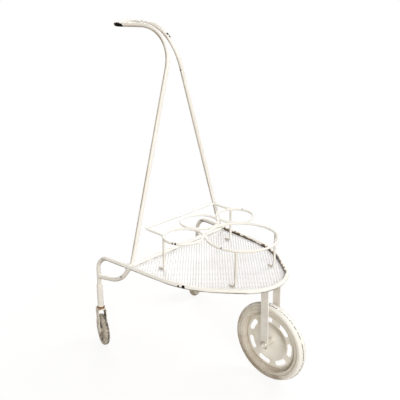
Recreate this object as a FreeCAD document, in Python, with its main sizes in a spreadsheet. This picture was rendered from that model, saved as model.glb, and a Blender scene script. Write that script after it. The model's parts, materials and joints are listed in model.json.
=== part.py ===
import FreeCAD, Part
import math
import os

import Sketcher

# Bar cart with a perforated tray, a wire bottle rack, a hairpin handle, one front wheel and two casters.
# Millimetres. Origin on the floor, on the centre plane, halfway between front axle and caster stems.
# +Z is up, -Y is the front (the wheel) and +Y the rear (the handle). Left is +X, right is -X,
# as seen by someone who pushes the cart.

V = FreeCAD.Vector

# Driving dimensions

DIMENSIONS = {
    # round bar, wire and sheet
    "bar_diameter": 11,
    "wire_diameter": 6,
    "sheet_thickness": 1,
    "sheet_drop": 3,
    "weld_bite": 0.1,
    # stance
    "wheelbase": 421,
    "leg_spread": 372,
    "rim_height": 257,
    # rim in plan
    "nose_overhang": 16,
    "nose_radius": 103,
    "nose_angle": 51,
    "flank_radius": 245,
    "flank_splay": 4.7,
    "arch_radius": 41,
    # crossbar and handle
    "crossbar_to_stem": 111,
    "handle_height": 821,
    "handle_lean": 12,
    "handle_crossing": 5,
    "handle_bend_radius": 95,
    "grip_radius": 30,
    "grip_reach": 165,
    "grip_roll": 3.8,
    # leg braces
    "brace_lead": 6,
    "brace_knee_back": 30,
    "brace_knee_drop": 48,
    "brace_end_drop": 61.5,
    "brace_bend_radius": 80,
    # perforation of the tray
    "hole_pitch": 14,
    "hole_side": 8,
    "hole_margin": 5,
    "hole_turn": 45,
    "corner_clearance": 2,
    # bottle rack
    "ring_height": 346,
    "bottle_ring_radius": 48,
    "bucket_ring_radius": 86,
    "bucket_ring_back": 96,
    "back_wire_width": 248,
    "back_wire_gap": 19.1,
    "back_wire_bend": 9,
    "front_post_angle": 59,
    "rear_post_angle": 37,
    "post_foot_length": 18,
    "post_foot_bend": 8,
    # front fork and axle
    "fork_gap": 43.6,
    "strap_thickness": 3,
    "strap_width": 21,
    "strap_rake": 1.7,
    "axle_diameter": 8,
    "axle_hole_clearance": 0.2,
    "spacer_thickness": 2.5,
    "spacer_diameter": 14,
    "nut_width": 13,
    "nut_thickness": 6.5,
    "bolt_head_thickness": 5.5,
    "bolt_end": 4,
    "running_clearance": 0.05,
    "side_clearance": 0.3,
    # front wheel
    "front_wheel_diameter": 200,
    "tyre_width": 25,
    "tyre_height": 15,
    "tread_groove_width": 2,
    "tread_groove_depth": 2,
    "tread_groove_offset": 4.5,
    "rim_width": 21,
    "rim_lip": 6,
    "rim_gauge": 1.5,
    "disc_gauge": 1.5,
    "disc_flange": 4.5,
    "disc_flank": 10,
    "disc_rise": 5,
    "dish_radius": 24,
    "dish_depth": 8,
    "dish_wall": 24,
    "dish_round": 40,
    "slot_radius": 57.3,
    "slot_width": 12.3,
    "slot_angle": 11,
    "slot_count": 7,
    "wheel_turn": -11.3,
    "hub_diameter": 14,
    # casters
    "caster_wheel_diameter": 84,
    "caster_tyre_width": 16,
    "caster_tyre_height": 10,
    "caster_tyre_round": 4,
    "caster_hub_rim": 4,
    "caster_hub_inset": 1.5,
    "caster_hub_web": 8,
    "caster_boss_diameter": 16,
    "caster_trail": 8,
    "caster_heading_left": -71,
    "caster_heading_right": -22,
    "caster_fork_gap": 18.4,
    "caster_fork_wall": 2,
    "caster_fork_height": 104,
    "caster_fork_depth": 25,
    "caster_fork_skirt": 20,
    "caster_fork_round": 4,
    "caster_arm_width": 18,
    "caster_axle_diameter": 6,
    "caster_rivet_diameter": 10,
    "caster_rivet_thickness": 2,
    "thrust_washer_thickness": 4.8,
    "thrust_washer_diameter": 20,
    "stem_diameter": 8,
    "stem_length": 40,
    "stem_head_diameter": 12,
    "stem_head_thickness": 2,
    "keeper_wire": 1.4,
    "keeper_below_top": 8,
    "keeper_groove_clearance": 0.1,
    "socket_diameter": 16,
    "socket_length": 61,
    "socket_seat": 15,
}

doc = FreeCAD.newDocument("bar_cart")
sheet = doc.addObject("Spreadsheet::Sheet", "Dims")
for row, (name, number) in enumerate(DIMENSIONS.items(), start=1):
    sheet.set(f"A{row}", name)
    sheet.set(f"B{row}", str(number))
    sheet.setAlias(f"B{row}", name)
doc.recompute()


# Sizes that carry both a number and the expression behind it

class Size:
    """A number together with the sheet expression that gives it."""

    def __init__(self, value, text):
        self.value = value
        self.text = text

    def __add__(self, other):
        other = size(other)
        return Size(self.value + other.value, f"({self.text} + {other.text})")

    def __radd__(self, other):
        return size(other) + self

    def __sub__(self, other):
        other = size(other)
        return Size(self.value - other.value, f"({self.text} - {other.text})")

    def __rsub__(self, other):
        return size(other) - self

    def __mul__(self, other):
        other = size(other)
        return Size(self.value * other.value, f"({self.text} * {other.text})")

    def __rmul__(self, other):
        return size(other) * self

    def __truediv__(self, other):
        other = size(other)
        return Size(self.value / other.value, f"({self.text} / {other.text})")

    def __neg__(self):
        return Size(-self.value, f"(-1 * {self.text})")


def size(item):
    """A Size from an alias, a plain number or another Size."""
    if isinstance(item, Size):
        return item
    if isinstance(item, str):
        return Size(float(sheet.get(item)), f"Dims.{item}")
    return Size(float(item), repr(float(item)))


def number(alias):
    """The value of one cell of the sheet."""
    return float(sheet.get(alias))


def bind(item, path, bound):
    item.setExpression(path, size(bound).text)


# Shared places, all from the driving dimensions

bar_radius = number("bar_diameter") / 2
wire_radius = number("wire_diameter") / 2
rim_z = number("rim_height")
axle_y = -number("wheelbase") / 2
stem_y = number("wheelbase") / 2
leg_x = number("leg_spread") / 2
crossbar_y = stem_y - number("crossbar_to_stem")
sheet_top = rim_z - number("sheet_drop")
sheet_bottom = sheet_top - number("sheet_thickness")
ring_z = number("ring_height")
front_wheel_radius = number("front_wheel_diameter") / 2
socket_bottom = number("caster_fork_height") + number("thrust_washer_thickness") + number("side_clearance")
socket_top = socket_bottom + number("socket_length")
SIDES = {"left": 1, "right": -1}


def mirrored(point):
    return V(-point.x, point.y, point.z)


# Helpers for bent bars and wires

def path_edges(points, radii):
    """Straight runs through the points, with a tangent arc of the given radius at each inner point."""
    edges = []
    start = points[0]
    for before, corner, after, radius in zip(points, points[1:], points[2:], radii):
        to_before = (before - corner).normalize()
        to_after = (after - corner).normalize()
        half_turn = (math.pi - to_before.getAngle(to_after)) / 2
        cut = radius * math.tan(half_turn)
        first = corner + to_before * cut
        last = corner + to_after * cut
        inward = (to_before + to_after).normalize()
        middle = corner + inward * (radius / math.cos(half_turn) - radius)
        edges.append(Part.LineSegment(start, first).toShape())
        edges.append(Part.Arc(first, middle, last).toShape())
        start = last
    edges.append(Part.LineSegment(start, points[-1]).toShape())
    return edges


def bent_bar(label, edges, diameter):
    """A round bar swept along the edges."""
    path = doc.addObject("Part::Feature", f"{label}_path")
    path.Shape = Part.Wire(edges)
    start = edges[0].valueAt(edges[0].FirstParameter)
    along = edges[0].tangentAt(edges[0].FirstParameter)
    section = doc.addObject("Part::Circle", f"{label}_section")
    bind(section, "Radius", size(diameter) / 2)
    section.Placement = FreeCAD.Placement(start, FreeCAD.Rotation(V(0, 0, 1), along))
    bar = doc.addObject("Part::Sweep", label)
    bar.Sections = [section]
    bar.Spine = (path, [f"Edge{i + 1}" for i in range(len(edges))])
    bar.Solid = True
    bar.Frenet = False
    return bar


def cut_from(label, base, tool):
    """The base shaped to seat against the tool."""
    result = doc.addObject("Part::Cut", label)
    result.Base = base
    result.Tool = tool
    return result


# Helpers for sketched pieces

def new_body(label):
    return doc.addObject("PartDesign::Body", label)


def sketch_on(body, name, role):
    """An empty sketch on one of the body's own origin planes."""
    sketch = body.newObject("Sketcher::SketchObject", f"{body.Label}_{name}")
    plane = [item for item in body.Origin.OriginFeatures if item.Role == role][0]
    sketch.AttachmentSupport = [(plane, "")]
    sketch.MapMode = "FlatFace"
    return sketch


def place_vertex(sketch, geometry, end, point):
    """Ties one end of a line to a pair of sizes measured from the sketch's origin."""
    for kind, coordinate in zip(("DistanceX", "DistanceY"), point):
        index = sketch.addConstraint(Sketcher.Constraint(kind, -1, 1, geometry, end, coordinate.value))
        sketch.setExpression(f"Constraints[{index}]", coordinate.text)


def outline(sketch, corners):
    """A closed outline of straight lines through corners given as pairs of sizes."""
    corners = [(size(a), size(b)) for a, b in corners]
    places = [V(a.value, b.value, 0) for a, b in corners]
    lines = []
    for start, end in zip(places, places[1:] + places[:1]):
        lines.append(sketch.addGeometry(Part.LineSegment(start, end), False))
    for line, following in zip(lines, lines[1:] + lines[:1]):
        sketch.addConstraint(Sketcher.Constraint("Coincident", line, 2, following, 1))
    for line, corner in zip(lines, corners):
        place_vertex(sketch, line, 1, corner)


def circle_at(sketch, centre, radius):
    """A circle with its centre and radius tied to sizes."""
    centre = (size(centre[0]), size(centre[1]))
    radius = size(radius)
    round_line = Part.Circle(V(centre[0].value, centre[1].value, 0), V(0, 0, 1), radius.value)
    geometry = sketch.addGeometry(round_line, False)
    place_vertex(sketch, geometry, 3, centre)
    index = sketch.addConstraint(Sketcher.Constraint("Radius", geometry, radius.value))
    sketch.setExpression(f"Constraints[{index}]", radius.text)


def revolved(label, corners):
    """A turned piece: the corners are (place along X, radius), turned about the X axis."""
    body = new_body(label)
    sketch = sketch_on(body, "profile", "XY_Plane")
    outline(sketch, corners)
    turn = body.newObject("PartDesign::Revolution", f"{label}_turn")
    turn.Profile = sketch
    turn.ReferenceAxis = (sketch, ["H_Axis"])
    turn.Angle = 360
    doc.recompute()
    return body


def padded(body, name, role, corners, length):
    """A block of the outline, as thick on one side of its plane as on the other."""
    sketch = sketch_on(body, name, role)
    outline(sketch, corners)
    pad = body.newObject("PartDesign::Pad", f"{body.Label}_{name}_pad")
    pad.Profile = sketch
    bind(pad, "Length", length)
    pad.Midplane = True
    doc.recompute()
    return pad


def cut_through(body, name, sketch):
    """A pocket through everything, both ways from the sketch."""
    before = body.Shape.Volume
    pocket = body.newObject("PartDesign::Pocket", f"{body.Label}_{name}_pocket")
    pocket.Profile = sketch
    pocket.Type = "ThroughAll"
    pocket.Midplane = True
    doc.recompute()
    if body.Shape.Volume >= before:
        raise RuntimeError(f"{body.Label}: {name} cuts nothing")
    return pocket


def rounded(body, name, chosen, radius):
    """Rounds the edges of the body's tip that the test chooses."""
    tip = body.Tip
    names = [f"Edge{i + 1}" for i, edge in enumerate(tip.Shape.Edges) if chosen(edge)]
    if not names:
        raise RuntimeError(f"{body.Label}: no edge to round for {name}")
    fillet = body.newObject("PartDesign::Fillet", f"{body.Label}_{name}")
    fillet.Base = (tip, names)
    bind(fillet, "Radius", radius)
    doc.recompute()
    return fillet


def is_circle(edge, radius, along_x):
    """True for a circle about the X axis with this radius, at this place on either side of the middle."""
    curve = edge.Curve
    if not isinstance(curve, Part.Circle):
        return False
    same_radius = abs(curve.Radius - radius) < 1e-6
    return same_radius and abs(abs(curve.Center.x) - along_x) < 1e-6


def is_straight_at(edge, place, tolerance=1e-6):
    """True for a straight edge whose middle lies at the given coordinates, None meaning any."""
    if not isinstance(edge.Curve, Part.Line):
        return False
    middle = edge.valueAt((edge.FirstParameter + edge.LastParameter) / 2)
    pairs = zip((middle.x, middle.y, middle.z), place)
    return all(wanted is None or abs(value - wanted) < tolerance for value, wanted in pairs)


# A rounded end is a little short of a half circle, so that a flat is left between its two fillets
ROUND_END = 0.98

parts = []


def keep(item, placement=None):
    """Adds a finished piece to the list that is written out."""
    if placement is not None:
        item.Placement = placement
    parts.append(item)
    return item


# Rim: one bent bar with nose, flanks, arches and legs

nose_turn = math.radians(number("nose_angle"))
splay = math.radians(number("flank_splay"))
nose_y = axle_y - number("nose_overhang")
apex_y = nose_y - number("nose_radius") * (1 / math.cos(nose_turn) - 1)


def rim_x(y):
    """Half width of the rim's straight rear run at a place along the cart."""
    return leg_x + math.tan(splay) * (y - stem_y)


nose_run = rim_x(apex_y) / (math.cos(nose_turn) - math.tan(splay) * math.sin(nose_turn))
flank = V(nose_run * math.cos(nose_turn), apex_y + nose_run * math.sin(nose_turn), rim_z)
leg_end = V(leg_x, stem_y, socket_top - number("socket_seat"))
arch_corner = V(leg_x, stem_y, rim_z)
apex = V(0, apex_y, rim_z)
rim_points = [leg_end, arch_corner, flank, apex, mirrored(flank), mirrored(arch_corner), mirrored(leg_end)]
rim_bends = ["arch_radius", "flank_radius", "nose_radius", "flank_radius", "arch_radius"]
rim_edges = path_edges(rim_points, [number(name) for name in rim_bends])
rim_bar = keep(bent_bar("rim_bar", rim_edges, "bar_diameter"))


# Handle: two uprights that stand in the rear corners and meet in a grip loop

apex_of_upright = V(-number("handle_crossing"), crossbar_y + number("handle_lean"), number("handle_height"))
rim_run = V(math.sin(splay), math.cos(splay), 0)
bar_spacing = number("bar_diameter") - number("weld_bite")
rim_underside = rim_z - bar_radius
foot = V(rim_x(crossbar_y) - bar_spacing, crossbar_y, rim_underside)
for step in range(4):
    upright = (apex_of_upright - foot).normalize()
    foot.z = rim_underside + bar_radius * math.hypot(upright.x, upright.y)
    square = rim_run.cross(upright).normalize()
    foot.x = rim_x(crossbar_y) - (bar_spacing - (rim_z - foot.z) * square.z) / square.x

grip_centre = V(0, apex_of_upright.y + number("grip_reach"), number("handle_height"))
grip_radius = number("grip_radius")
to_apex = apex_of_upright - grip_centre
tangent_turn = math.atan2(to_apex.y, to_apex.x) + math.acos(grip_radius / to_apex.Length)
grip_start = grip_centre + V(math.cos(tangent_turn), math.sin(tangent_turn), 0) * grip_radius
grip_tip = grip_centre + V(0, grip_radius, 0)
grip_level = V(0, 0, number("handle_height"))
grip_turn = FreeCAD.Rotation(V(0, 1, 0), -number("grip_roll"))


def rolled(point):
    """A point of the handle's top, rolled about the grip's long axis so that its left bar is the higher one."""
    return grip_level + grip_turn.multVec(point - grip_level)


left_points = [foot, rolled(apex_of_upright), rolled(grip_start)]
right_points = [rolled(mirrored(grip_start)), rolled(mirrored(apex_of_upright)), mirrored(foot)]
left_side = path_edges(left_points, [number("handle_bend_radius")])
right_side = path_edges(right_points, [number("handle_bend_radius")])
grip_arc = Part.Arc(left_points[-1], rolled(grip_tip), right_points[0]).toShape()
handle_bar = keep(bent_bar("handle_bar", left_side + [grip_arc] + right_side, "bar_diameter"))


# Crossbar between the uprights, shaped to seat against them

crossbar_blank = doc.addObject("Part::Cylinder", "crossbar_blank")
bind(crossbar_blank, "Radius", size("bar_diameter") / 2)
crossbar_end = foot.x + upright.x / upright.z * (rim_z - foot.z)
crossbar_blank.Height = 2 * crossbar_end
crossbar_blank.Placement = FreeCAD.Placement(
    V(-crossbar_end, crossbar_y, rim_z), FreeCAD.Rotation(V(0, 1, 0), 90)
)
keep(cut_from("rear_crossbar", crossbar_blank, handle_bar))


# Leg braces, in the upright plane of the rim's rear run

def rim_plane_point(y, z, side):
    return V(side * rim_x(y), y, z)


for side_name, side in SIDES.items():
    brace_top = rim_plane_point(crossbar_y - number("brace_lead"), rim_z, side)
    brace_knee = rim_plane_point(
        crossbar_y + number("brace_knee_back"), rim_z - number("brace_knee_drop"), side
    )
    brace_end = rim_plane_point(stem_y, rim_z - number("brace_end_drop"), side)
    brace_edges = path_edges([brace_top, brace_knee, brace_end], [number("brace_bend_radius")])
    brace_blank = bent_bar(f"brace_blank_{side_name}", brace_edges, "bar_diameter")
    brace_seated = cut_from(f"brace_seated_{side_name}", brace_blank, rim_bar)
    keep(cut_from(f"leg_brace_{side_name}", brace_seated, handle_bar))


# Perforated tray sheet, one holed face given its thickness

corner_cut = number("bar_diameter") + number("corner_clearance")
cut_side = V(rim_x(crossbar_y - corner_cut), crossbar_y - corner_cut, sheet_bottom)
cut_rear = V(rim_x(crossbar_y) - corner_cut, crossbar_y, sheet_bottom)
tray_flank = V(flank.x, flank.y, sheet_bottom)
tray_apex = V(apex.x, apex.y, sheet_bottom)
tray_points = [cut_side, tray_flank, tray_apex, mirrored(tray_flank), mirrored(cut_side)]
tray_bends = [number(name) for name in ("flank_radius", "nose_radius", "flank_radius")]
tray_edges = path_edges(tray_points, tray_bends)
rear_points = [mirrored(cut_side), mirrored(cut_rear), cut_rear, cut_side]
for start, end in zip(rear_points, rear_points[1:]):
    tray_edges.append(Part.LineSegment(start, end).toShape())
bar_half_width = math.sqrt(bar_radius ** 2 - number("sheet_drop") ** 2)
SHARP_CORNERS = 2
tray_line = Part.Wire(tray_edges).makeOffset2D(-bar_half_width, join=SHARP_CORNERS)
hole_field = Part.Face(tray_line.makeOffset2D(-number("hole_margin"), join=SHARP_CORNERS))


hole_rows = FreeCAD.Rotation(V(0, 0, 1), number("hole_turn"))
tray_middle = V(0, (crossbar_y + nose_y) / 2, sheet_bottom)


def square_hole(across, along, side):
    """A closed square in the turned rows of holes, at a place measured from the middle of the tray."""
    half = side / 2
    corners = [(across - half, along - half), (across + half, along - half),
               (across + half, along + half), (across - half, along + half)]
    places = [tray_middle + hole_rows.multVec(V(a, b, 0)) for a, b in corners]
    return Part.makePolygon(places + places[:1])


pitch = number("hole_pitch")
reach = int((number("leg_spread") + number("wheelbase")) / 2 / pitch)
holes = []
for column in range(-reach, reach + 1):
    for row in range(-reach, reach + 1):
        hole = square_hole(column * pitch, row * pitch, number("hole_side"))
        if all(hole_field.isInside(corner.Point, 1e-6, True) for corner in hole.Vertexes):
            holes.append(hole)
tray_face = Part.Face([tray_line] + holes)
tray_sheet = doc.addObject("Part::Feature", "tray_sheet")
tray_sheet.Shape = tray_face.extrude(V(0, 0, number("sheet_thickness")))
keep(tray_sheet)
print("tray holes:", len(holes))


# Bottle rack: rings, back wire and posts

ring_spacing = number("wire_diameter") - number("weld_bite")
bucket_y = axle_y + number("bucket_ring_back")
bottle_ring_radius = number("bottle_ring_radius")
bucket_to_bottle = number("bucket_ring_radius") + bottle_ring_radius + ring_spacing
bottle_step = 2 * math.asin((bottle_ring_radius + ring_spacing / 2) / bucket_to_bottle)


def wire_ring(label, radius, centre):
    ring = doc.addObject("Part::Torus", label)
    bind(ring, "Radius1", radius)
    bind(ring, "Radius2", size("wire_diameter") / 2)
    return keep(ring, FreeCAD.Placement(centre, FreeCAD.Rotation()))


bucket_centre = V(0, bucket_y, ring_z)
wire_ring("bucket_ring", "bucket_ring_radius", bucket_centre)
bottle_rings = {}
for ring_name, steps in (("left", 1), ("middle", 0), ("right", -1)):
    turn = steps * bottle_step
    ring_centre = bucket_centre + V(math.sin(turn), math.cos(turn), 0) * bucket_to_bottle
    bottle_rings[ring_name] = wire_ring(f"bottle_ring_{ring_name}", "bottle_ring_radius", ring_centre)

side_ring_centre = bottle_rings["left"].Placement.Base
wire_x = number("back_wire_width") / 2
middle_ring_back = bottle_rings["middle"].Placement.Base.y + bottle_ring_radius
wire_corner = V(wire_x, middle_ring_back + number("back_wire_gap"), ring_z)
on_ring = math.sqrt(bottle_ring_radius ** 2 - (wire_x - side_ring_centre.x) ** 2)
wire_start = V(wire_x, side_ring_centre.y + on_ring, ring_z)
wire_points = [wire_start, wire_corner, mirrored(wire_corner), mirrored(wire_start)]
wire_edges = path_edges(wire_points, [number("back_wire_bend")] * 2)
wire_blank = bent_bar("back_wire_blank", wire_edges, "wire_diameter")
wire_seated_left = cut_from("back_wire_seated_left", wire_blank, bottle_rings["left"])
keep(cut_from("rack_back_wire", wire_seated_left, bottle_rings["right"]))


def rack_post(label, place):
    """A post from a ring's underside to the tray, with its foot bent to the rear."""
    top = V(place.x, place.y, ring_z - wire_radius + number("weld_bite"))
    heel = V(place.x, place.y, sheet_top + wire_radius)
    toe = heel + V(0, number("post_foot_length"), 0)
    edges = path_edges([top, heel, toe], [number("post_foot_bend")])
    keep(bent_bar(label, edges, "wire_diameter"))


front_turn = math.radians(number("front_post_angle"))
rear_turn = math.radians(number("rear_post_angle"))
for side_name, side in SIDES.items():
    front_offset = V(side * math.sin(front_turn), -math.cos(front_turn), 0) * number("bucket_ring_radius")
    rack_post(f"rack_post_front_{side_name}", bucket_centre + front_offset)
    rear_offset = V(side * math.sin(rear_turn), math.cos(rear_turn), 0) * bottle_ring_radius
    rack_post(f"rack_post_rear_{side_name}", bottle_rings[side_name].Placement.Base + rear_offset)


# Fork straps, shaped at the top to seat under the rim

axle_centre = V(0, axle_y, front_wheel_radius)
axle_place = FreeCAD.Placement(axle_centre, FreeCAD.Rotation())
strap_middle = (number("fork_gap") + number("strap_thickness")) / 2
wheel_radius = size("front_wheel_diameter") / 2
strap_half = size("strap_width") / 2
rake = math.radians(number("strap_rake"))
sheet_above_axle = size("rim_height") - size("sheet_drop") - size("sheet_thickness") - wheel_radius
rake_rise = strap_half * Size(math.sin(rake), "sin(Dims.strap_rake)")
strap_top = (sheet_above_axle - rake_rise) / Size(math.cos(rake), "cos(Dims.strap_rake)")
leaning_back = FreeCAD.Rotation(V(1, 0, 0), -number("strap_rake"))
for side_name, side in SIDES.items():
    strap = new_body(f"strap_blank_{side_name}")
    strap_corners = [
        (-strap_half, -strap_half),
        (strap_half, -strap_half),
        (strap_half, strap_top),
        (-strap_half, strap_top),
    ]
    padded(strap, "plate", "YZ_Plane", strap_corners, "strap_thickness")
    lower_end = -number("strap_width") / 2
    rounded(strap, "toe", lambda edge: is_straight_at(edge, (None, None, lower_end)) and
            abs(edge.tangentAt(edge.FirstParameter).x) > 0.9, strap_half * ROUND_END)
    axle_hole = sketch_on(strap, "axle_hole", "YZ_Plane")
    circle_at(axle_hole, (0, 0), size("axle_diameter") / 2 + "axle_hole_clearance")
    cut_through(strap, "axle_hole", axle_hole)
    strap.Placement = FreeCAD.Placement(axle_centre + V(side * strap_middle, 0, 0), leaning_back)
    keep(cut_from(f"fork_strap_{side_name}", strap, rim_bar))


# Front axle: bolt, nut and spacers

def hexagon(sketch, across_flats):
    """A hexagon with two flats level."""
    half = size(across_flats) / 2
    corner = half * (2 / math.sqrt(3))
    near = corner / 2
    outline(sketch, [
        (corner, 0), (near, half), (-near, half), (-corner, 0), (-near, -half), (near, -half),
    ])


def hex_block(body, name, thickness):
    """A hexagonal block on the body's YZ plane, built towards +X."""
    sketch = sketch_on(body, name, "YZ_Plane")
    hexagon(sketch, "nut_width")
    pad = body.newObject("PartDesign::Pad", f"{body.Label}_{name}_pad")
    pad.Profile = sketch
    bind(pad, "Length", thickness)
    doc.recompute()
    return pad


strap_outer = size("fork_gap") / 2 + "strap_thickness"
shank_length = strap_outer * 2 + "nut_thickness" + "bolt_end"
bolt = new_body("front_axle_bolt")
hex_block(bolt, "head", "bolt_head_thickness")
shank_sketch = sketch_on(bolt, "shank", "YZ_Plane")
circle_at(shank_sketch, (0, 0), size("axle_diameter") / 2)
shank = bolt.newObject("PartDesign::Pad", "front_axle_bolt_shank_pad")
shank.Profile = shank_sketch
shank.Reversed = True
bind(shank, "Length", shank_length)
doc.recompute()
keep(bolt, FreeCAD.Placement(axle_centre + V(strap_outer.value, 0, 0), FreeCAD.Rotation()))

nut = new_body("front_axle_nut")
hex_block(nut, "hexagon", "nut_thickness")
nut_hole = sketch_on(nut, "thread", "YZ_Plane")
circle_at(nut_hole, (0, 0), size("axle_diameter") / 2)
cut_through(nut, "thread", nut_hole)
nut_x = -strap_outer.value - number("nut_thickness")
keep(nut, FreeCAD.Placement(axle_centre + V(nut_x, 0, 0), FreeCAD.Rotation()))

spacer_bore = size("axle_diameter") / 2 + "axle_hole_clearance"
for side_name, side in SIDES.items():
    half_gap = size("fork_gap") / 2
    inner_face = half_gap - "spacer_thickness"
    spacer = revolved(f"fork_spacer_{side_name}", [
        (inner_face * side, spacer_bore),
        (half_gap * side, spacer_bore),
        (half_gap * side, size("spacer_diameter") / 2),
        (inner_face * side, size("spacer_diameter") / 2),
    ])
    keep(spacer, axle_place)


# Front wheel: tyre, rim hoop, pressed disc and hub

rim_half = size("rim_width") / 2
rim_seat = wheel_radius - "tyre_height" - "rim_lip"
rim_inside = rim_seat - "rim_gauge"
lip_inside = rim_half - "rim_gauge"
lip_top = rim_seat + "rim_lip"

half_tyre = size("tyre_width") / 2
tyre_ring = doc.addObject("Part::Torus", "tyre_ring")
bind(tyre_ring, "Radius1", wheel_radius - half_tyre)
bind(tyre_ring, "Radius2", half_tyre)
tyre_ring.Placement = FreeCAD.Placement(axle_centre, FreeCAD.Rotation(V(0, 1, 0), 90))
rim_channel = revolved("rim_channel", [
    (-half_tyre, 0),
    (half_tyre, 0),
    (half_tyre, lip_top),
    (lip_inside, lip_top),
    (lip_inside, rim_seat),
    (-lip_inside, rim_seat),
    (-lip_inside, lip_top),
    (-half_tyre, lip_top),
])
rim_channel.Placement = axle_place
tyre = cut_from("seated_tyre", tyre_ring, rim_channel)
groove_floor = wheel_radius - "tread_groove_depth"
groove_half = size("tread_groove_width") / 2
groove_near = size("tread_groove_offset") - groove_half
groove_far = size("tread_groove_offset") + groove_half
tyre_labels = {"left": "half_grooved_tyre", "right": "front_tyre"}
for side_name, side in SIDES.items():
    groove = revolved(f"tread_groove_{side_name}", [
        (groove_near * side, groove_floor),
        (groove_far * side, groove_floor),
        (groove_far * side, wheel_radius),
        (groove_near * side, wheel_radius),
    ])
    groove.Placement = axle_place
    tyre = cut_from(tyre_labels[side_name], tyre, groove)
keep(tyre)

keep(revolved("front_rim_hoop", [
    (-rim_half, rim_inside),
    (rim_half, rim_inside),
    (rim_half, lip_top),
    (lip_inside, lip_top),
    (lip_inside, rim_seat),
    (-lip_inside, rim_seat),
    (-lip_inside, lip_top),
    (-rim_half, lip_top),
]), axle_place)

gauge = size("disc_gauge")
hub_radius = size("hub_diameter") / 2
web_near = -gauge / 2
web_far = gauge / 2
dish_near = web_near + "dish_depth"
dish_far = web_far + "dish_depth"
dish_rim = size("dish_radius") + "dish_wall"
dish_back = size("dish_radius") + gauge / 2
flank_near = web_near + "disc_rise"
flank_far = web_far + "disc_rise"
flange_end = flank_near + "disc_flange"
web_edge = rim_inside - "disc_flank"
disc = revolved("front_wheel_disc", [
    (dish_near, hub_radius),
    (dish_near, "dish_radius"),
    (web_near, dish_rim),
    (web_near, web_edge),
    (flank_near, rim_inside),
    (flange_end, rim_inside),
    (flange_end, rim_inside - gauge),
    (flank_far, rim_inside - gauge),
    (web_far, web_edge - gauge / 2),
    (web_far, dish_rim + gauge / 2),
    (dish_far, dish_back),
    (dish_far, hub_radius),
])
for name, along, radius in (("bowl", dish_near, size("dish_radius")), ("bowl_back", dish_far, dish_back)):
    rounded(disc, name, lambda edge: is_circle(edge, radius.value, along.value), "dish_round")


def curved_slot(sketch, radius, width, angle):
    """A slot along an arc about the sketch's origin, with round ends, centred on the vertical axis."""
    turn = math.radians(number(angle))
    middle = number(radius)
    half = number(width) / 2
    up = math.pi / 2
    ends = [V(math.cos(up + side * turn), math.sin(up + side * turn), 0) * middle for side in (-1, 1)]
    axis = V(0, 0, 1)
    outer = Part.ArcOfCircle(Part.Circle(V(), axis, middle + half), up - turn, up + turn)
    inner = Part.ArcOfCircle(Part.Circle(V(), axis, middle - half), up - turn, up + turn)
    first_end = Part.ArcOfCircle(Part.Circle(ends[0], axis, half), up - turn - math.pi, up - turn)
    last_end = Part.ArcOfCircle(Part.Circle(ends[1], axis, half), up + turn, up + turn + math.pi)
    outer, inner, first_end, last_end = [
        sketch.addGeometry(arc, False) for arc in (outer, inner, first_end, last_end)
    ]
    for one, one_end, other, other_end in (
        (outer, 1, first_end, 2), (first_end, 1, inner, 1), (inner, 2, last_end, 2), (last_end, 1, outer, 2)
    ):
        sketch.addConstraint(Sketcher.Constraint("Tangent", one, one_end, other, other_end))
    for arc in (outer, inner):
        sketch.addConstraint(Sketcher.Constraint("Coincident", arc, 3, -1, 1))
    outer_radius = size(radius) + size(width) / 2
    inner_radius = size(radius) - size(width) / 2
    for arc, bound in ((outer, outer_radius), (inner, inner_radius)):
        index = sketch.addConstraint(Sketcher.Constraint("Radius", arc, bound.value))
        sketch.setExpression(f"Constraints[{index}]", bound.text)
    sketch.addConstraint(Sketcher.Constraint("Horizontal", first_end, 3, last_end, 3))
    chord = size(radius) * 2 * Size(math.sin(turn), f"sin({size(angle).text})")
    index = sketch.addConstraint(Sketcher.Constraint("DistanceX", last_end, 3, first_end, 3, chord.value))
    sketch.setExpression(f"Constraints[{index}]", chord.text)


slot_sketch = sketch_on(disc, "slot", "YZ_Plane")
curved_slot(slot_sketch, "slot_radius", "slot_width", "slot_angle")
slot = cut_through(disc, "slot", slot_sketch)
slots = disc.newObject("PartDesign::PolarPattern", "front_wheel_disc_slots")
slots.Originals = [slot]
x_axis = [item for item in disc.Origin.OriginFeatures if item.Role == "X_Axis"][0]
slots.Axis = (x_axis, [""])
slots.Angle = 360
bind(slots, "Occurrences", "slot_count")
disc.Tip = slots
keep(disc, FreeCAD.Placement(axle_centre, FreeCAD.Rotation(V(1, 0, 0), number("wheel_turn"))))

hub_half = size("fork_gap") / 2 - "spacer_thickness" - "side_clearance"
hub_bore = size("axle_diameter") / 2 + "running_clearance"
keep(revolved("front_hub", [
    (-hub_half, hub_bore),
    (hub_half, hub_bore),
    (hub_half, hub_radius),
    (-hub_half, hub_radius),
]), axle_place)


# Casters: built with the swivel axis on Z and the wheel trailing towards -Y, then turned to their headings

caster_radius = size("caster_wheel_diameter") / 2
stem_radius = size("stem_diameter") / 2
fork_top = size("caster_fork_height")
fork_outer = size("caster_fork_gap") / 2 + "caster_fork_wall"
keeper_z = socket_bottom + number("stem_length") - number("keeper_below_top")
keeper_radius = size("keeper_wire") / 2
keeper_room = keeper_radius + "keeper_groove_clearance"
UPRIGHT = FreeCAD.Rotation(V(0, 1, 0), -90)


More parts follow.
